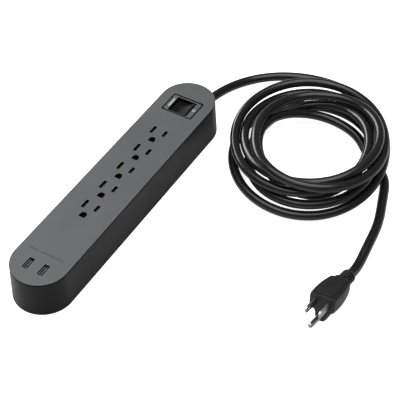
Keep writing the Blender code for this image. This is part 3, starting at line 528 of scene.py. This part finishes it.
def housing():
    radius, straight, top_face = strip_size()
    top = top_face - LID_THICKNESS - LID_REVEAL
    ledge_top = top_face - PLATE_STEP - GAP
    ledge_low = ledge_top - LEDGE_THICKNESS
    base_top = BASE_THICKNESS + GAP
    base_edge = BASE_MARGIN - GAP

    def flare(z):
        """The wall leans out towards the floor."""
        return DRAFT * (1 - z / top_face)

    section = [(inset - flare(z), z) for inset, z in reversed(quarter_round(FOOT_ROUND, 4))]
    section += [(-flare(z), z) for z in WALL_RINGS]
    section += [(inset - flare(top - drop), top - drop)
                for inset, drop in quarter_round(RIM_ROUND, 3)]
    section += [(WALL, top), (WALL, ledge_top), (LEDGE_REACH, ledge_top),
                (LEDGE_REACH, ledge_low), (WALL, ledge_low - LEDGE_CHAMFER), (WALL, base_top),
                (base_edge, base_top), (base_edge, 0.0)]
    shell = to_object("housing", loft([flat_ring(stadium(radius - inset, straight), z)
                                       for inset, z in section], closed=True))
    places = screw_places()
    combine(shell, merged(*[rod_mesh((x, y, BOSS_BOTTOM), (x, y, BOSS_TOP), BOSS_RADIUS)
                            for x, y in places]), "UNION")
    combine(shell, merged(*[rod_mesh((x, y, BOSS_BOTTOM - 0.002), (x, y, BOSS_PILOT_TOP),
                                     BOSS_PILOT_RADIUS, 16) for x, y in places]), "DIFFERENCE")
    exit_z = cord_exit_height()
    hole = CORD_RADIUS + CORD_EXIT_CLEARANCE
    outer_x = radius + straight
    combine(shell, rod_mesh((outer_x - 0.010, 0, exit_z), (outer_x + 0.005, 0, exit_z), hole, 40),
            "DIFFERENCE")
    finish_piece(shell, "shell_black", "strip", ["housing_shell"])


def screw_places():
    """The middles of the six cover screws."""
    places = []
    for number in range(1, 7):
        low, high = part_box("housing_screw_%d" % number)
        places.append(((low.x + high.x) / 2, (low.y + high.y) / 2))
    return places


def outlet_xs():
    mounts = [m for m in frame["record"]["mounts"] if m["name"].startswith("outlet_")]
    return [m["pos_m"][0] for m in mounts]


def flared(outline_for, low, high):
    """A cutter whose mouth opens out a little at the face."""
    lip = MOUTH_LIP
    return loft([flat_ring(outline_for(0.0), low), flat_ring(outline_for(0.0), high - lip),
                 flat_ring(outline_for(lip * 0.4), high - lip * 0.35),
                 flat_ring(outline_for(lip * 1.3), high + lip * 0.5)])


def slot_outline(x, y, length):
    def outline(grow):
        return rounded_rectangle((x - length / 2 - grow, y - SLOT_WIDTH / 2 - grow),
                                 (x + length / 2 + grow, y + SLOT_WIDTH / 2 + grow),
                                 SLOT_CORNER + grow, 3)
    return outline


def ground_outline(x):
    """A D: flat towards -X, round towards the blades."""
    def outline(grow):
        half = GROUND_HOLE / 2 + grow
        corner = GROUND_CORNER + grow
        points = arc((x, 0.0), half, -math.pi / 2, math.pi / 2, 24)
        points += arc((x - half + corner, half - corner), corner, math.pi / 2, math.pi, 4)
        points += arc((x - half + corner, -half + corner), corner, math.pi, 3 * math.pi / 2, 4)
        return points
    return outline


def frame_hole(grow):
    low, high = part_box("switch_bezel")
    wider = FRAME_GAP + grow
    return rounded_rectangle((low.x - wider, low.y - wider), (high.x + wider, high.y + wider),
                             FRAME_HOLE_CORNER + grow)


def port_hole(name):
    def outline(grow):
        low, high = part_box(name)
        wider = PORT_MARGIN + grow
        return rounded_rectangle((low.x - wider, low.y - wider),
                                 (high.x + wider, high.y + wider), PORT_HOLE_CORNER + grow)
    return outline


def two_looks(piece, look, in_painted_shade):
    """Gives the piece its look, and a near-black painted shade on each face that the test picks out."""
    for name in (look, "slot_wall"):
        piece.data.materials.append(LOOKS[name])
    for face in piece.data.polygons:
        face.material_index = int(in_painted_shade(face))


def is_upright(face):
    return abs(face.normal.z) < 0.5


def faces_sideways(face):
    return abs(face.normal.x) > 0.8


def face_plate():
    radius, straight, top = strip_size()
    lid_low = top - LID_THICKNESS
    section = [(WALL + GAP, top - PLATE_STEP), (WALL + GAP, lid_low), (RIM_ROUND, lid_low),
               (0.0, lid_low + RIM_ROUND)]
    section += [(inset, top - drop) for inset, drop in quarter_round(FACE_ROUND, 3)]
    plate = to_object("face_plate", loft([flat_ring(stadium(radius - inset, straight), z)
                                          for inset, z in section]))
    low = top - PLATE_STEP - 0.001
    outlines = [frame_hole] + [port_hole("usb_shell_%d" % number) for number in (1, 2)]
    for x in outlet_xs():
        outlines.append(slot_outline(x, BLADE_SPACING / 2, NEUTRAL_SLOT))
        outlines.append(slot_outline(x, -BLADE_SPACING / 2, HOT_SLOT))
        outlines.append(ground_outline(x - GROUND_OFFSET))
    # Painted shade: the plate's upright faces, its outer edge among them, and the walls the cutters leave in its
    # holes take the near-black.
    two_looks(plate, "face_grey", is_upright)
    combine(plate, merged(*[flared(outline, low, top) for outline in outlines]), "DIFFERENCE",
            "slot_wall")
    finish_piece(plate, "face_grey", "strip", ["top_plate"])


def face_dashes():
    """Three faint groups of short strokes printed across the face, before the ports."""
    top = strip_size()[2]
    last_hole = min(outlet_xs()) - GROUND_OFFSET
    x = last_hole - STROKE_PLACE * (last_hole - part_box("usb_shell_1")[1].x)
    strokes = []
    for start, end in STROKE_GROUPS:
        y = start
        while y > end:
            half = STROKE_HALF_HEIGHTS[len(strokes) % len(STROKE_HALF_HEIGHTS)]
            strokes.append(box_mesh((x - half, y - STROKE_WIDTH, top - STROKE_RELIEF),
                                    (x + half, y, top + STROKE_RELIEF)))
            y -= STROKE_STEP
    finish_piece(to_object("face_dashes", merged(*strokes)), "mark_dark", "strip")


# ---------------------------------------------------------------- switch

def joint(name):
    return next(j for j in frame["joints"] if j["name"] == name)


def rocker_place():
    """From the rocker's own frame, level and on its hinge, to where it rests."""
    return (Matrix.Translation(joint("rocker_hinge")["pos_m"])
            @ Matrix.Rotation(-ROCKER_TILT, 4, "X"))


def switch_frame():
    low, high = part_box("switch_bezel")
    x, y = joint("rocker_hinge")["pos_m"][:2]
    sweep = math.hypot(ROCKER_HALF_LENGTH, ROCKER_END_RISE) + ROCKER_GAP
    half = ROCKER_WIDTH / 2 + ROCKER_GAP
    steps = 5

    def outer(inset):
        return rounded_rectangle((low.x + inset, low.y + inset), (high.x - inset, high.y - inset),
                                 FRAME_CORNER - inset, steps)

    def inner(grow):
        return rounded_rectangle((x - half - ROCKER_SIDE_GAP - grow, y - sweep - grow),
                                 (x + half + grow, y + sweep + grow), 0.0004 + grow, steps)

    rings = [flat_ring(outer(0.0), low.z)]
    rings += [flat_ring(outer(inset), high.z - drop)
              for inset, drop in quarter_round(FRAME_ROUND, 3)]
    rings += [flat_ring(inner(FRAME_INNER_ROUND - inset), high.z - drop)
              for inset, drop in reversed(quarter_round(FRAME_INNER_ROUND, 2))]
    rings.append(flat_ring(inner(0.0), low.z))
    bezel = to_object("switch_frame", loft(rings, closed=True))
    # Painted shade: the frame's upright walls, inside and out, take the near-black.
    two_looks(bezel, "face_grey", is_upright)
    finish_piece(bezel, "face_grey", "strip", ["switch_bezel"])


def switch_marks():
    """The usual bar and ring at the frame's two ends."""
    low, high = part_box("switch_bezel")
    x = (low.x + high.x) / 2
    below, above = high.z - MARK_RELIEF, high.z + MARK_RELIEF
    bar = box_mesh((x - BAR_HALF_LENGTH, high.y - BAR_FROM_EDGE[0], below),
                   (x + BAR_HALF_LENGTH, high.y - BAR_FROM_EDGE[1], above))
    finish_piece(to_object("switch_mark_bar", bar), "mark_pale", "strip")
    outer, inner = [arc((x, low.y + RING_FROM_EDGE), radius, 0.0, 2 * math.pi, 40)[:-1]
                    for radius in RING_RADII]
    ring = loft([flat_ring(outer, below), flat_ring(outer, above), flat_ring(inner, above),
                 flat_ring(inner, below)], closed=True)
    finish_piece(to_object("switch_mark_ring", ring), "mark_pale", "strip")


def rocker_outline():
    """Seen along its axis: a shallow trough on top, arcs at the ends and a foot below."""
    sweep = math.hypot(ROCKER_HALF_LENGTH, ROCKER_END_RISE)
    top = math.atan2(ROCKER_END_RISE, ROCKER_HALF_LENGTH)
    inset, drop = ROCKER_CREST
    crest_y, crest_z = ROCKER_HALF_LENGTH - inset, ROCKER_END_RISE - drop
    half = list(ROCKER_FOOT)
    half += arc((0.0, 0.0), sweep, -ROCKER_SKIRT, top - math.radians(1.2), 14)
    half += [(ROCKER_HALF_LENGTH - inset * 0.4, ROCKER_END_RISE - drop / 6), (crest_y, crest_z)]
    for i in range(1, 16):
        share = 1 - i / 15
        half.append((crest_y * share,
                     ROCKER_MIDDLE_RISE + (crest_z - ROCKER_MIDDLE_RISE) * share ** 2))
    return half + [(-y, z) for y, z in reversed(half[:-1])]


def rocker_rings():
    """The outline at each station across the rocker, drawn in at its rounded sides."""
    half = ROCKER_WIDTH / 2
    stations = [(-half + drop, inset) for inset, drop in reversed(quarter_round(ROCKER_EDGE, 3))]
    stations += [(half - drop, inset) for inset, drop in quarter_round(ROCKER_EDGE, 3)]
    outline = rocker_outline()
    return [[(x, y, z) for y, z in inset_outline(outline, inset)] for x, inset in stations]


def rocker():
    cap = to_object("rocker_cap", loft(rocker_rings()))
    combine(cap, rod_mesh((-TRUNNION_REACH, 0, 0), (TRUNNION_REACH, 0, 0), TRUNNION_RADIUS),
            "UNION")
    bore_low, bore_high = PIN_BORE
    combine(cap, rod_mesh((0, 0, bore_low), (0, 0, bore_high), PIN_BORE_RADIUS, 24), "DIFFERENCE")
    # Painted shade: the rocker's flat sides take the near-black.
    two_looks(cap, "rocker_gloss", faces_sideways)
    cap.data.transform(rocker_place())
    finish_piece(cap, "rocker_gloss", "rocker", ["rocker"], 40.0)


def plunger_coil():
    """The spring behind the pin, drawn at one length; the real one shortens as the pin is pushed in."""
    steps = SPRING_TURNS * 16
    turns = np.linspace(0.0, SPRING_TURNS * 2 * math.pi, steps + 1)
    path = np.column_stack((SPRING_RADIUS * np.cos(turns), SPRING_RADIUS * np.sin(turns),
                            np.linspace(SPRING_TOP, SPRING_BOTTOM, steps + 1)))
    coil = to_object("plunger_coil", loft(swept_tube(path, SPRING_WIRE_RADIUS, 8)))
    place = rocker_place()
    coil.data.transform(place)
    finish_piece(coil, "steel", "rocker", ["plunger_spring"], 60.0)
    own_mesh(coil)


def inset_outline(outline, distance):
    """Each point moved inward along the mean of its two edges' normals."""
    if distance == 0:
        return list(outline)
    moved = []
    count = len(outline)
    area = sum(outline[i][0] * outline[(i + 1) % count][1]
               - outline[(i + 1) % count][0] * outline[i][1] for i in range(count))
    side = 1.0 if area > 0 else -1.0
    for i, point in enumerate(outline):
        before, after = Vector(outline[i - 1]), Vector(outline[(i + 1) % count])
        first = (Vector(point) - before).normalized()
        second = (after - Vector(point)).normalized()
        normal = Vector((-(first.y + second.y), first.x + second.x)).normalized() * side
        moved.append(tuple(Vector(point) + normal * distance))
    return moved


# ---------------------------------------------------------------- charging ports

def port_shell(number):
    name = "usb_shell_%d" % number
    low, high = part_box(name)

    def outline(inset):
        return rounded_rectangle((low.x + inset, low.y + inset), (high.x - inset, high.y - inset),
                                 max(PORT_CORNER - inset, 0.0002), 5)

    inner = PORT_WALL
    rings = [flat_ring(outline(0.0), low.z), flat_ring(outline(0.0), high.z - 0.00012),
             flat_ring(outline(0.00012), high.z), flat_ring(outline(inner - 0.00010), high.z),
             flat_ring(outline(inner), high.z - 0.0004), flat_ring(outline(inner), low.z)]
    shell = to_object("port_shell_%d" % number, loft(rings, closed=True))
    middle = (low.x + high.x) / 2
    for side in (1, -1):
        for across in (-TAB_PLACE, TAB_PLACE):
            face = high.y if side > 0 else low.y
            spring = spring_tab(middle + across, face - side * inner, side, high.z)
            combine(shell, spring, "UNION")
    finish_piece(shell, "port_metal", "strip", [name])


def spring_tab(x, y, side, top):
    """A shallow sprung tab bulging from the port's wall."""
    profile = [(0.0, top - 0.0010), (TAB_REACH, top - 0.0026), (TAB_REACH, top - 0.0034),
               (0.0, top - 0.0052)]
    rooted = 0.00012
    outline = [(-rooted, profile[-1][1]), (-rooted, profile[0][1])] + profile
    return loft([[(x + across, y - side * reach, z) for reach, z in outline]
                 for across in (-TAB_HALF_WIDTH, TAB_HALF_WIDTH)])


def port_tongue(number):
    """The block at the bottom with an upright tongue, and a bright rail along each side of it."""
    name = "usb_tongue_%d" % number
    low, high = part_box(name)
    shell_low, shell_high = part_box("usb_shell_%d" % number)
    middle_x = (low.x + high.x) / 2
    middle_y = (shell_low.y + shell_high.y) / 2
    block_top = low.z + TONGUE_BLOCK
    block = box_mesh(low, (high.x, high.y, block_top), 0.0002)
    tongue = to_object("port_tongue_%d" % number, block)
    near, far = TONGUE_SIDES
    upright_low = (middle_x - TONGUE_HALF_LENGTH, middle_y + near, block_top - 0.0010)
    upright_high = (middle_x + TONGUE_HALF_LENGTH, middle_y + far, high.z)
    combine(tongue, box_mesh(upright_low, upright_high, 0.0002), "UNION")
    finish_piece(tongue, "carrier_black", "strip", [name])
    rails = [box_mesh((middle_x - RAIL_HALF_LENGTH, middle_y + side - RAIL_HALF_WIDTH,
                       high.z - 0.0016),
                      (middle_x + RAIL_HALF_LENGTH, middle_y + side + RAIL_HALF_WIDTH,
                       high.z + 0.0001), 0.00004, 1)
             for side in RAIL_SIDES]
    finish_piece(to_object("port_contacts_%d" % number, merged(*rails)), "contact_metal", "strip")


# ---------------------------------------------------------------- cord

def cord_centres():
    """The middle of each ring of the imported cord, from the housing to the plug."""
    bm = bmesh.new()
    bm.from_mesh(frame["nodes"]["power_cord"].data)
    bmesh.ops.remove_doubles(bm, verts=bm.verts, dist=1e-6)
    first_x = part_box("cord_clamp")[0].x - 0.001
    first_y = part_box("cord_clamp")[0].y
    ring = {v for v in bm.verts if v.co.x < first_x and v.co.y > first_y}
    seen = set(ring)
    centres = []
    while ring:
        centres.append(np.mean([v.co for v in ring], axis=0))
        ring = {e.other_vert(v) for v in ring for e in v.link_edges} - seen
        seen |= ring
    bm.free()
    return np.array(centres)


def cord_exit_height():
    return float(cord_centres()[0][2])


def smooth_path(knots, step):
    """A natural cubic spline through the knots, in even steps."""
    gaps = np.linalg.norm(np.diff(knots, axis=0), axis=1)
    at = np.concatenate(([0.0], np.cumsum(gaps)))
    count = len(knots)
    system = np.zeros((count, count))
    right = np.zeros((count, 3))
    system[0, 0] = system[-1, -1] = 1.0
    for i in range(1, count - 1):
        system[i, i - 1:i + 2] = gaps[i - 1], 2 * (gaps[i - 1] + gaps[i]), gaps[i]
        right[i] = 6 * ((knots[i + 1] - knots[i]) / gaps[i]
                        - (knots[i] - knots[i - 1]) / gaps[i - 1])
    bend = np.linalg.solve(system, right)
    where = np.linspace(0.0, at[-1], int(round(at[-1] / step)) + 1)
    span = np.clip(np.searchsorted(at, where, side="right") - 1, 0, count - 2)
    width = gaps[span][:, None]
    after = (where - at[span])[:, None]
    before = width - after
    near, far = bend[span], bend[span + 1]
    return (near * before ** 3 + far * after ** 3) / (6 * width) \
        + (knots[span] / width - near * width / 6) * before \
        + (knots[span + 1] / width - far * width / 6) * after


def swept_tube(path, radius, sides):
    """Rings carried along the path without twisting."""
    tangents = np.gradient(path, axis=0)
    tangents /= np.linalg.norm(tangents, axis=1)[:, None]
    side = np.cross(tangents[0], (0.0, 0.0, 1.0))
    angles = np.arange(sides) * 2 * math.pi / sides
    rings = []
    for point, tangent in zip(path, tangents):
        side = side - tangent * side.dot(tangent)
        side /= np.linalg.norm(side)
        up = np.cross(side, tangent)
        around = np.outer(np.cos(angles), side) + np.outer(np.sin(angles), up)
        rings.append([tuple(p) for p in point + around * radius])
    return rings


def cord():
    path = smooth_path(cord_centres(), CORD_STEP)
    tube = to_object("cord", loft(swept_tube(path, CORD_RADIUS, CORD_SIDES)))
    finish_piece(tube, "cord_black", "strip", ["power_cord"], 60.0)


# ---------------------------------------------------------------- plug

def plug_place():
    """The middle of the plug's face: +X out of it, +Z away from the ground pin."""
    mount = next(m for m in frame["record"]["mounts"] if m["name"] == "plug_face")
    out = Vector(mount["axis"]).normalized()
    middles = []
    for name in ("plug_neutral_blade", "plug_hot_blade"):
        low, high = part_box(name)
        middles.append((low + high) / 2)
    across = middles[0] - middles[1]
    across = (across - out * across.dot(out)).normalized()
    up = out.cross(across)
    turn = Matrix((out, across, up)).transposed().to_4x4()
    return Matrix.Translation(mount["pos_m"]) @ turn


def plug_section(x, half_width, top, shelf, bottom):
    """A ring of points: a flat box down to the shelf and a round lobe below it."""
    half = [(half_width * 0.5, top), (half_width - 0.0022, top), (half_width - 0.0007, top - 0.0002),
            (half_width, top - 0.0012), (half_width, shelf + 0.0018),
            (half_width - 0.0010, shelf + 0.0002), (0.0068, shelf - 0.0008),
            (0.0056, shelf - 0.0030), (0.0053, bottom + 0.0032), (0.0036, bottom + 0.0008),
            (0.0012, bottom)]
    ring = half + [(-y, z) for y, z in reversed(half)]
    return [(x, y, z) for y, z in ring]


def neck_section(x, radius):
    """A round ring whose points follow those of plug_section."""
    turns = [math.pi / 2 - math.pi * (i + 0.5) / 11 for i in range(11)]
    half = [(radius * math.cos(a), NECK_Z + radius * math.sin(a)) for a in turns]
    ring = half + [(-y, z) for y, z in reversed(half)]
    return [(x, y, z) for y, z in ring]


def is_in_groove(face):
    x, y, z = face.center
    return -NECK_END + 0.0030 < x < -0.0385 and math.hypot(y, z - NECK_Z) < GROOVE_SHADE_RADIUS


def plug_body(place):
    """The moulded body, lofted along the plug from its face to the end of its grooved neck."""
    sections = [plug_section(*place_and_size) for place_and_size in PLUG_SECTIONS]
    sections += [neck_section(-0.0350, 0.0070), neck_section(-0.0362, NECK_RADIUS)]
    for x in GROOVE_STARTS:
        sections.append(neck_section(x, NECK_RADIUS))
        sections.append(neck_section(x - 0.0002, GROOVE_RADIUS))
        sections.append(neck_section(x - 0.0015, GROOVE_RADIUS))
        sections.append(neck_section(x - 0.0017, NECK_RADIUS))
    sections.append(neck_section(0.0008 - NECK_END, 0.0065))
    sections.append(neck_section(-NECK_END, 0.0060))
    body = to_object("plug_mould", loft(sections))
    soft = body.modifiers.new("soft", "SUBSURF")
    soft.levels = 3
    soft.render_levels = 3
    apply_modifiers(body)
    combine(body, box_mesh((0.0, -0.020, -0.030), (0.010, 0.020, 0.020)), "DIFFERENCE")
    half_y, half_z = BLADE_THICKNESS / 2 + GAP, BLADE_WIDTH / 2 + GAP
    pockets = [box_mesh((-BLADE_ROOT - GAP, side * BLADE_SPACING / 2 - half_y, -half_z),
                        (0.003, side * BLADE_SPACING / 2 + half_y, half_z)) for side in (1, -1)]
    pockets.append(rod_mesh((-BLADE_ROOT - GAP, 0, -GROUND_OFFSET), (0.003, 0, -GROUND_OFFSET),
                            PIN_RADIUS + GAP))
    pockets.append(rod_mesh((-NECK_END - 0.003, 0, NECK_Z), (-NECK_END + 0.0040, 0, NECK_Z),
                            CORD_RADIUS + 0.0005))
    combine(body, merged(*pockets), "DIFFERENCE")
    # Painted shade: the faces in the neck's grooves take the near-black.
    two_looks(body, "plug_vinyl", is_in_groove)
    body.data.transform(place)
    finish_piece(body, "plug_vinyl", "strip", ["plug_body"], 35.0)


def plug_panel(place):
    """A shallow raised panel down the middle of the plug's top, running into its neck."""
    rings = []
    for x, half, top in PANEL_STATIONS:
        side = [(half, top - 0.0035), (half, top - 0.0007), (half - 0.0003, top - 0.0002),
                (half - 0.0008, top)]
        rings.append([(x, y, z) for y, z in side]
                     + [(x, -y, z) for y, z in reversed(side)])
    panel = to_object("plug_panel", loft(rings))
    panel.data.transform(place)
    finish_piece(panel, "plug_vinyl", "strip", angle=40.0)


def plug_blade(place, name, side):
    """A flat blade with a hole near its bevelled tip."""
    half, tip = BLADE_WIDTH / 2, BLADE_LENGTH
    back, down = BLADE_TIP
    outline = [(-BLADE_ROOT, -half), (tip - back, -half), (tip, -half + down),
               (tip, half - down), (tip - back, half), (-BLADE_ROOT, half)]
    thick = BLADE_THICKNESS / 2
    y = side * BLADE_SPACING / 2
    levels = [(-thick + drop, inset) for inset, drop in reversed(quarter_round(BLADE_EDGE, 2))]
    levels += [(thick - drop, inset) for inset, drop in quarter_round(BLADE_EDGE, 2)]
    rings = [[(x, y + across, z) for x, z in inset_outline(outline, inset)]
             for across, inset in levels]
    blade = to_object(name.replace("plug_", "") + "_metal", loft(rings))
    combine(blade, rod_mesh((BLADE_HOLE_X, y - 0.002, 0), (BLADE_HOLE_X, y + 0.002, 0),
                            BLADE_HOLE_RADIUS), "DIFFERENCE")
    blade.data.transform(place)
    finish_piece(blade, "nickel", "strip", [name])


def ground_pin(place):
    """A folded pin: round outside with a rounded tip, and an open channel along its top."""
    radius, length = PIN_RADIUS, PIN_LENGTH
    stations = [(-BLADE_ROOT, radius), (length - radius, radius)]
    stations += [(length - radius * (1 - math.sin(a)), radius * math.cos(a))
                 for a in (math.radians(d) for d in (15, 30, 45, 60, 75, 86))]
    angles = [2 * math.pi * i / 40 for i in range(40)]
    rings = [[(x, r * math.cos(a), -GROUND_OFFSET + r * math.sin(a)) for a in angles]
             for x, r in stations]
    pin = to_object("ground_pin_metal", loft(rings))
    half = PIN_CHANNEL_HALF_WIDTH
    channel = box_mesh((-BLADE_ROOT - 0.001, -half, -GROUND_OFFSET - 0.0006),
                       (length - PIN_SOLID_TIP, half, -GROUND_OFFSET + 0.004), 0.0003)
    combine(pin, channel, "DIFFERENCE")
    pin.data.transform(place)
    finish_piece(pin, "nickel", "strip", ["plug_ground_pin"])


# ---------------------------------------------------------------- kept parts and stage

def dress_kept_parts():
    """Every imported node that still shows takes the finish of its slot."""
    for packed in frame["nodes"].values():
        if packed.hide_render:
            continue
        for place in packed.material_slots:
            place.material = LOOKS[place.material.name.split(".")[0]]


def floor():
    bm = bmesh.new()
    bmesh.ops.create_grid(bm, x_segments=1, y_segments=1, size=FLOOR_SIZE)
    ground = to_object("floor", bm)
    ground.location.z = FLOOR_Z
    m = empty_material("floor_pale")
    rays = node(m, "ShaderNodeLightPath")
    grain = noise(m, node(m, "ShaderNodeTexCoord").outputs["Object"], 30.0, 4.0)
    tone = mix_colour(m, remap(m, grain, 0.0, 1.0), rgba((0.90, 0.90, 0.90)),
                      rgba((0.92, 0.92, 0.92)))
    tone = mix_colour(m, rays.outputs["Is Glossy Ray"], tone,
                      rgba((FLOOR_IN_REFLECTIONS,) * 3))
    matte = node(m, "ShaderNodeBsdfDiffuse", {"Color": tone})
    lift = node(m, "ShaderNodeMath", {0: rays.outputs["Is Camera Ray"], 1: FLOOR_LIFT},
                operation="MULTIPLY")
    glow = node(m, "ShaderNodeEmission", {"Strength": lift.outputs[0]})
    shader = node(m, "ShaderNodeAddShader", {0: matte.outputs[0], 1: glow.outputs[0]})
    ground.data.materials.append(finish_material(m, shader.outputs[0]))


def softbox(name, direction, distance, width, height, power, aim=(0.05, -0.08, 0.0)):
    light = bpy.data.lights.new(name, "AREA")
    light.shape = "RECTANGLE"
    light.size = width
    light.size_y = height
    light.energy = power
    lamp = bpy.data.objects.new(name, light)
    bpy.context.scene.collection.objects.link(lamp)
    away = Vector(direction).normalized()
    lamp.location = Vector(aim) + away * distance
    lamp.rotation_mode = "QUATERNION"
    lamp.rotation_quaternion = away.to_track_quat("Z", "Y")
    return lamp


def studio():
    """A plain surround, white to the camera and dimmer in reflections, and two soft lamps."""
    world = bpy.data.worlds.new("studio")
    bpy.context.scene.world = world
    world.use_nodes = True
    world.node_tree.nodes.clear()
    rays = node(world, "ShaderNodeLightPath")
    fill, shine, seen = [node(world, "ShaderNodeBackground",
                              {"Color": rgba((1.0, 1.0, 1.0)), "Strength": strength}).outputs[0]
                         for strength in (FILL_STRENGTH, SHINE_STRENGTH, 1.0)]
    unseen = node(world, "ShaderNodeMixShader",
                  {"Fac": rays.outputs["Is Glossy Ray"], 1: fill, 2: shine})
    whole = node(world, "ShaderNodeMixShader",
                 {"Fac": rays.outputs["Is Camera Ray"], 1: unseen.outputs[0], 2: seen})
    node(world, "ShaderNodeOutputWorld", {"Surface": whole.outputs[0]})
    softbox("key", (0.28, 0.89, 0.36), 1.6, 1.3, 0.5, 16.0)
    softbox("overhead", (-0.10, 0.10, 1.0), 1.5, 1.6, 1.6, 22.0)


def camera():
    data = bpy.data.cameras.new("camera")
    data.lens = LENS
    eye = bpy.data.objects.new("camera", data)
    bpy.context.scene.collection.objects.link(eye)
    back = Vector((math.sin(VIEW_AZIMUTH) * math.cos(VIEW_ELEVATION),
                   -math.cos(VIEW_AZIMUTH) * math.cos(VIEW_ELEVATION),
                   math.sin(VIEW_ELEVATION)))
    eye.location = Vector(VIEW_TARGET) + back * VIEW_DISTANCE
    turn = (-back).to_track_quat("-Z", "Y").to_matrix() @ Matrix.Rotation(VIEW_ROLL, 3, "Z")
    eye.rotation_mode = "QUATERNION"
    eye.rotation_quaternion = turn.to_quaternion()
    data.clip_start, data.clip_end = 0.01, 50.0
    bpy.context.scene.camera = eye
    bpy.context.scene.view_settings.view_transform = "Standard"


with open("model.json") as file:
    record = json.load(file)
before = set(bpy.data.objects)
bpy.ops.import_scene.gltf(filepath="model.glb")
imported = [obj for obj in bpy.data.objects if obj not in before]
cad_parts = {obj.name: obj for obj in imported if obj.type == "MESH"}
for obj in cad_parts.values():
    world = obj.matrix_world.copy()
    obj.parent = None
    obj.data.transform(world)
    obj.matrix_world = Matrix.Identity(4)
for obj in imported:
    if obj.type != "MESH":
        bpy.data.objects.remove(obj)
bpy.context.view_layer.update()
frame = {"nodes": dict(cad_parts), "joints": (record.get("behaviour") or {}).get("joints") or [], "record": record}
LOOKS = make_looks()
housing()
face_plate()
face_dashes()
switch_frame()
switch_marks()
rocker()
plunger_coil()
for port in (1, 2):
    port_shell(port)
    port_tongue(port)
cord()
plug_frame = plug_place()
plug_body(plug_frame)
plug_panel(plug_frame)
plug_blade(plug_frame, "plug_neutral_blade", 1)
plug_blade(plug_frame, "plug_hot_blade", -1)
ground_pin(plug_frame)
dress_kept_parts()
floor()
studio()
camera()
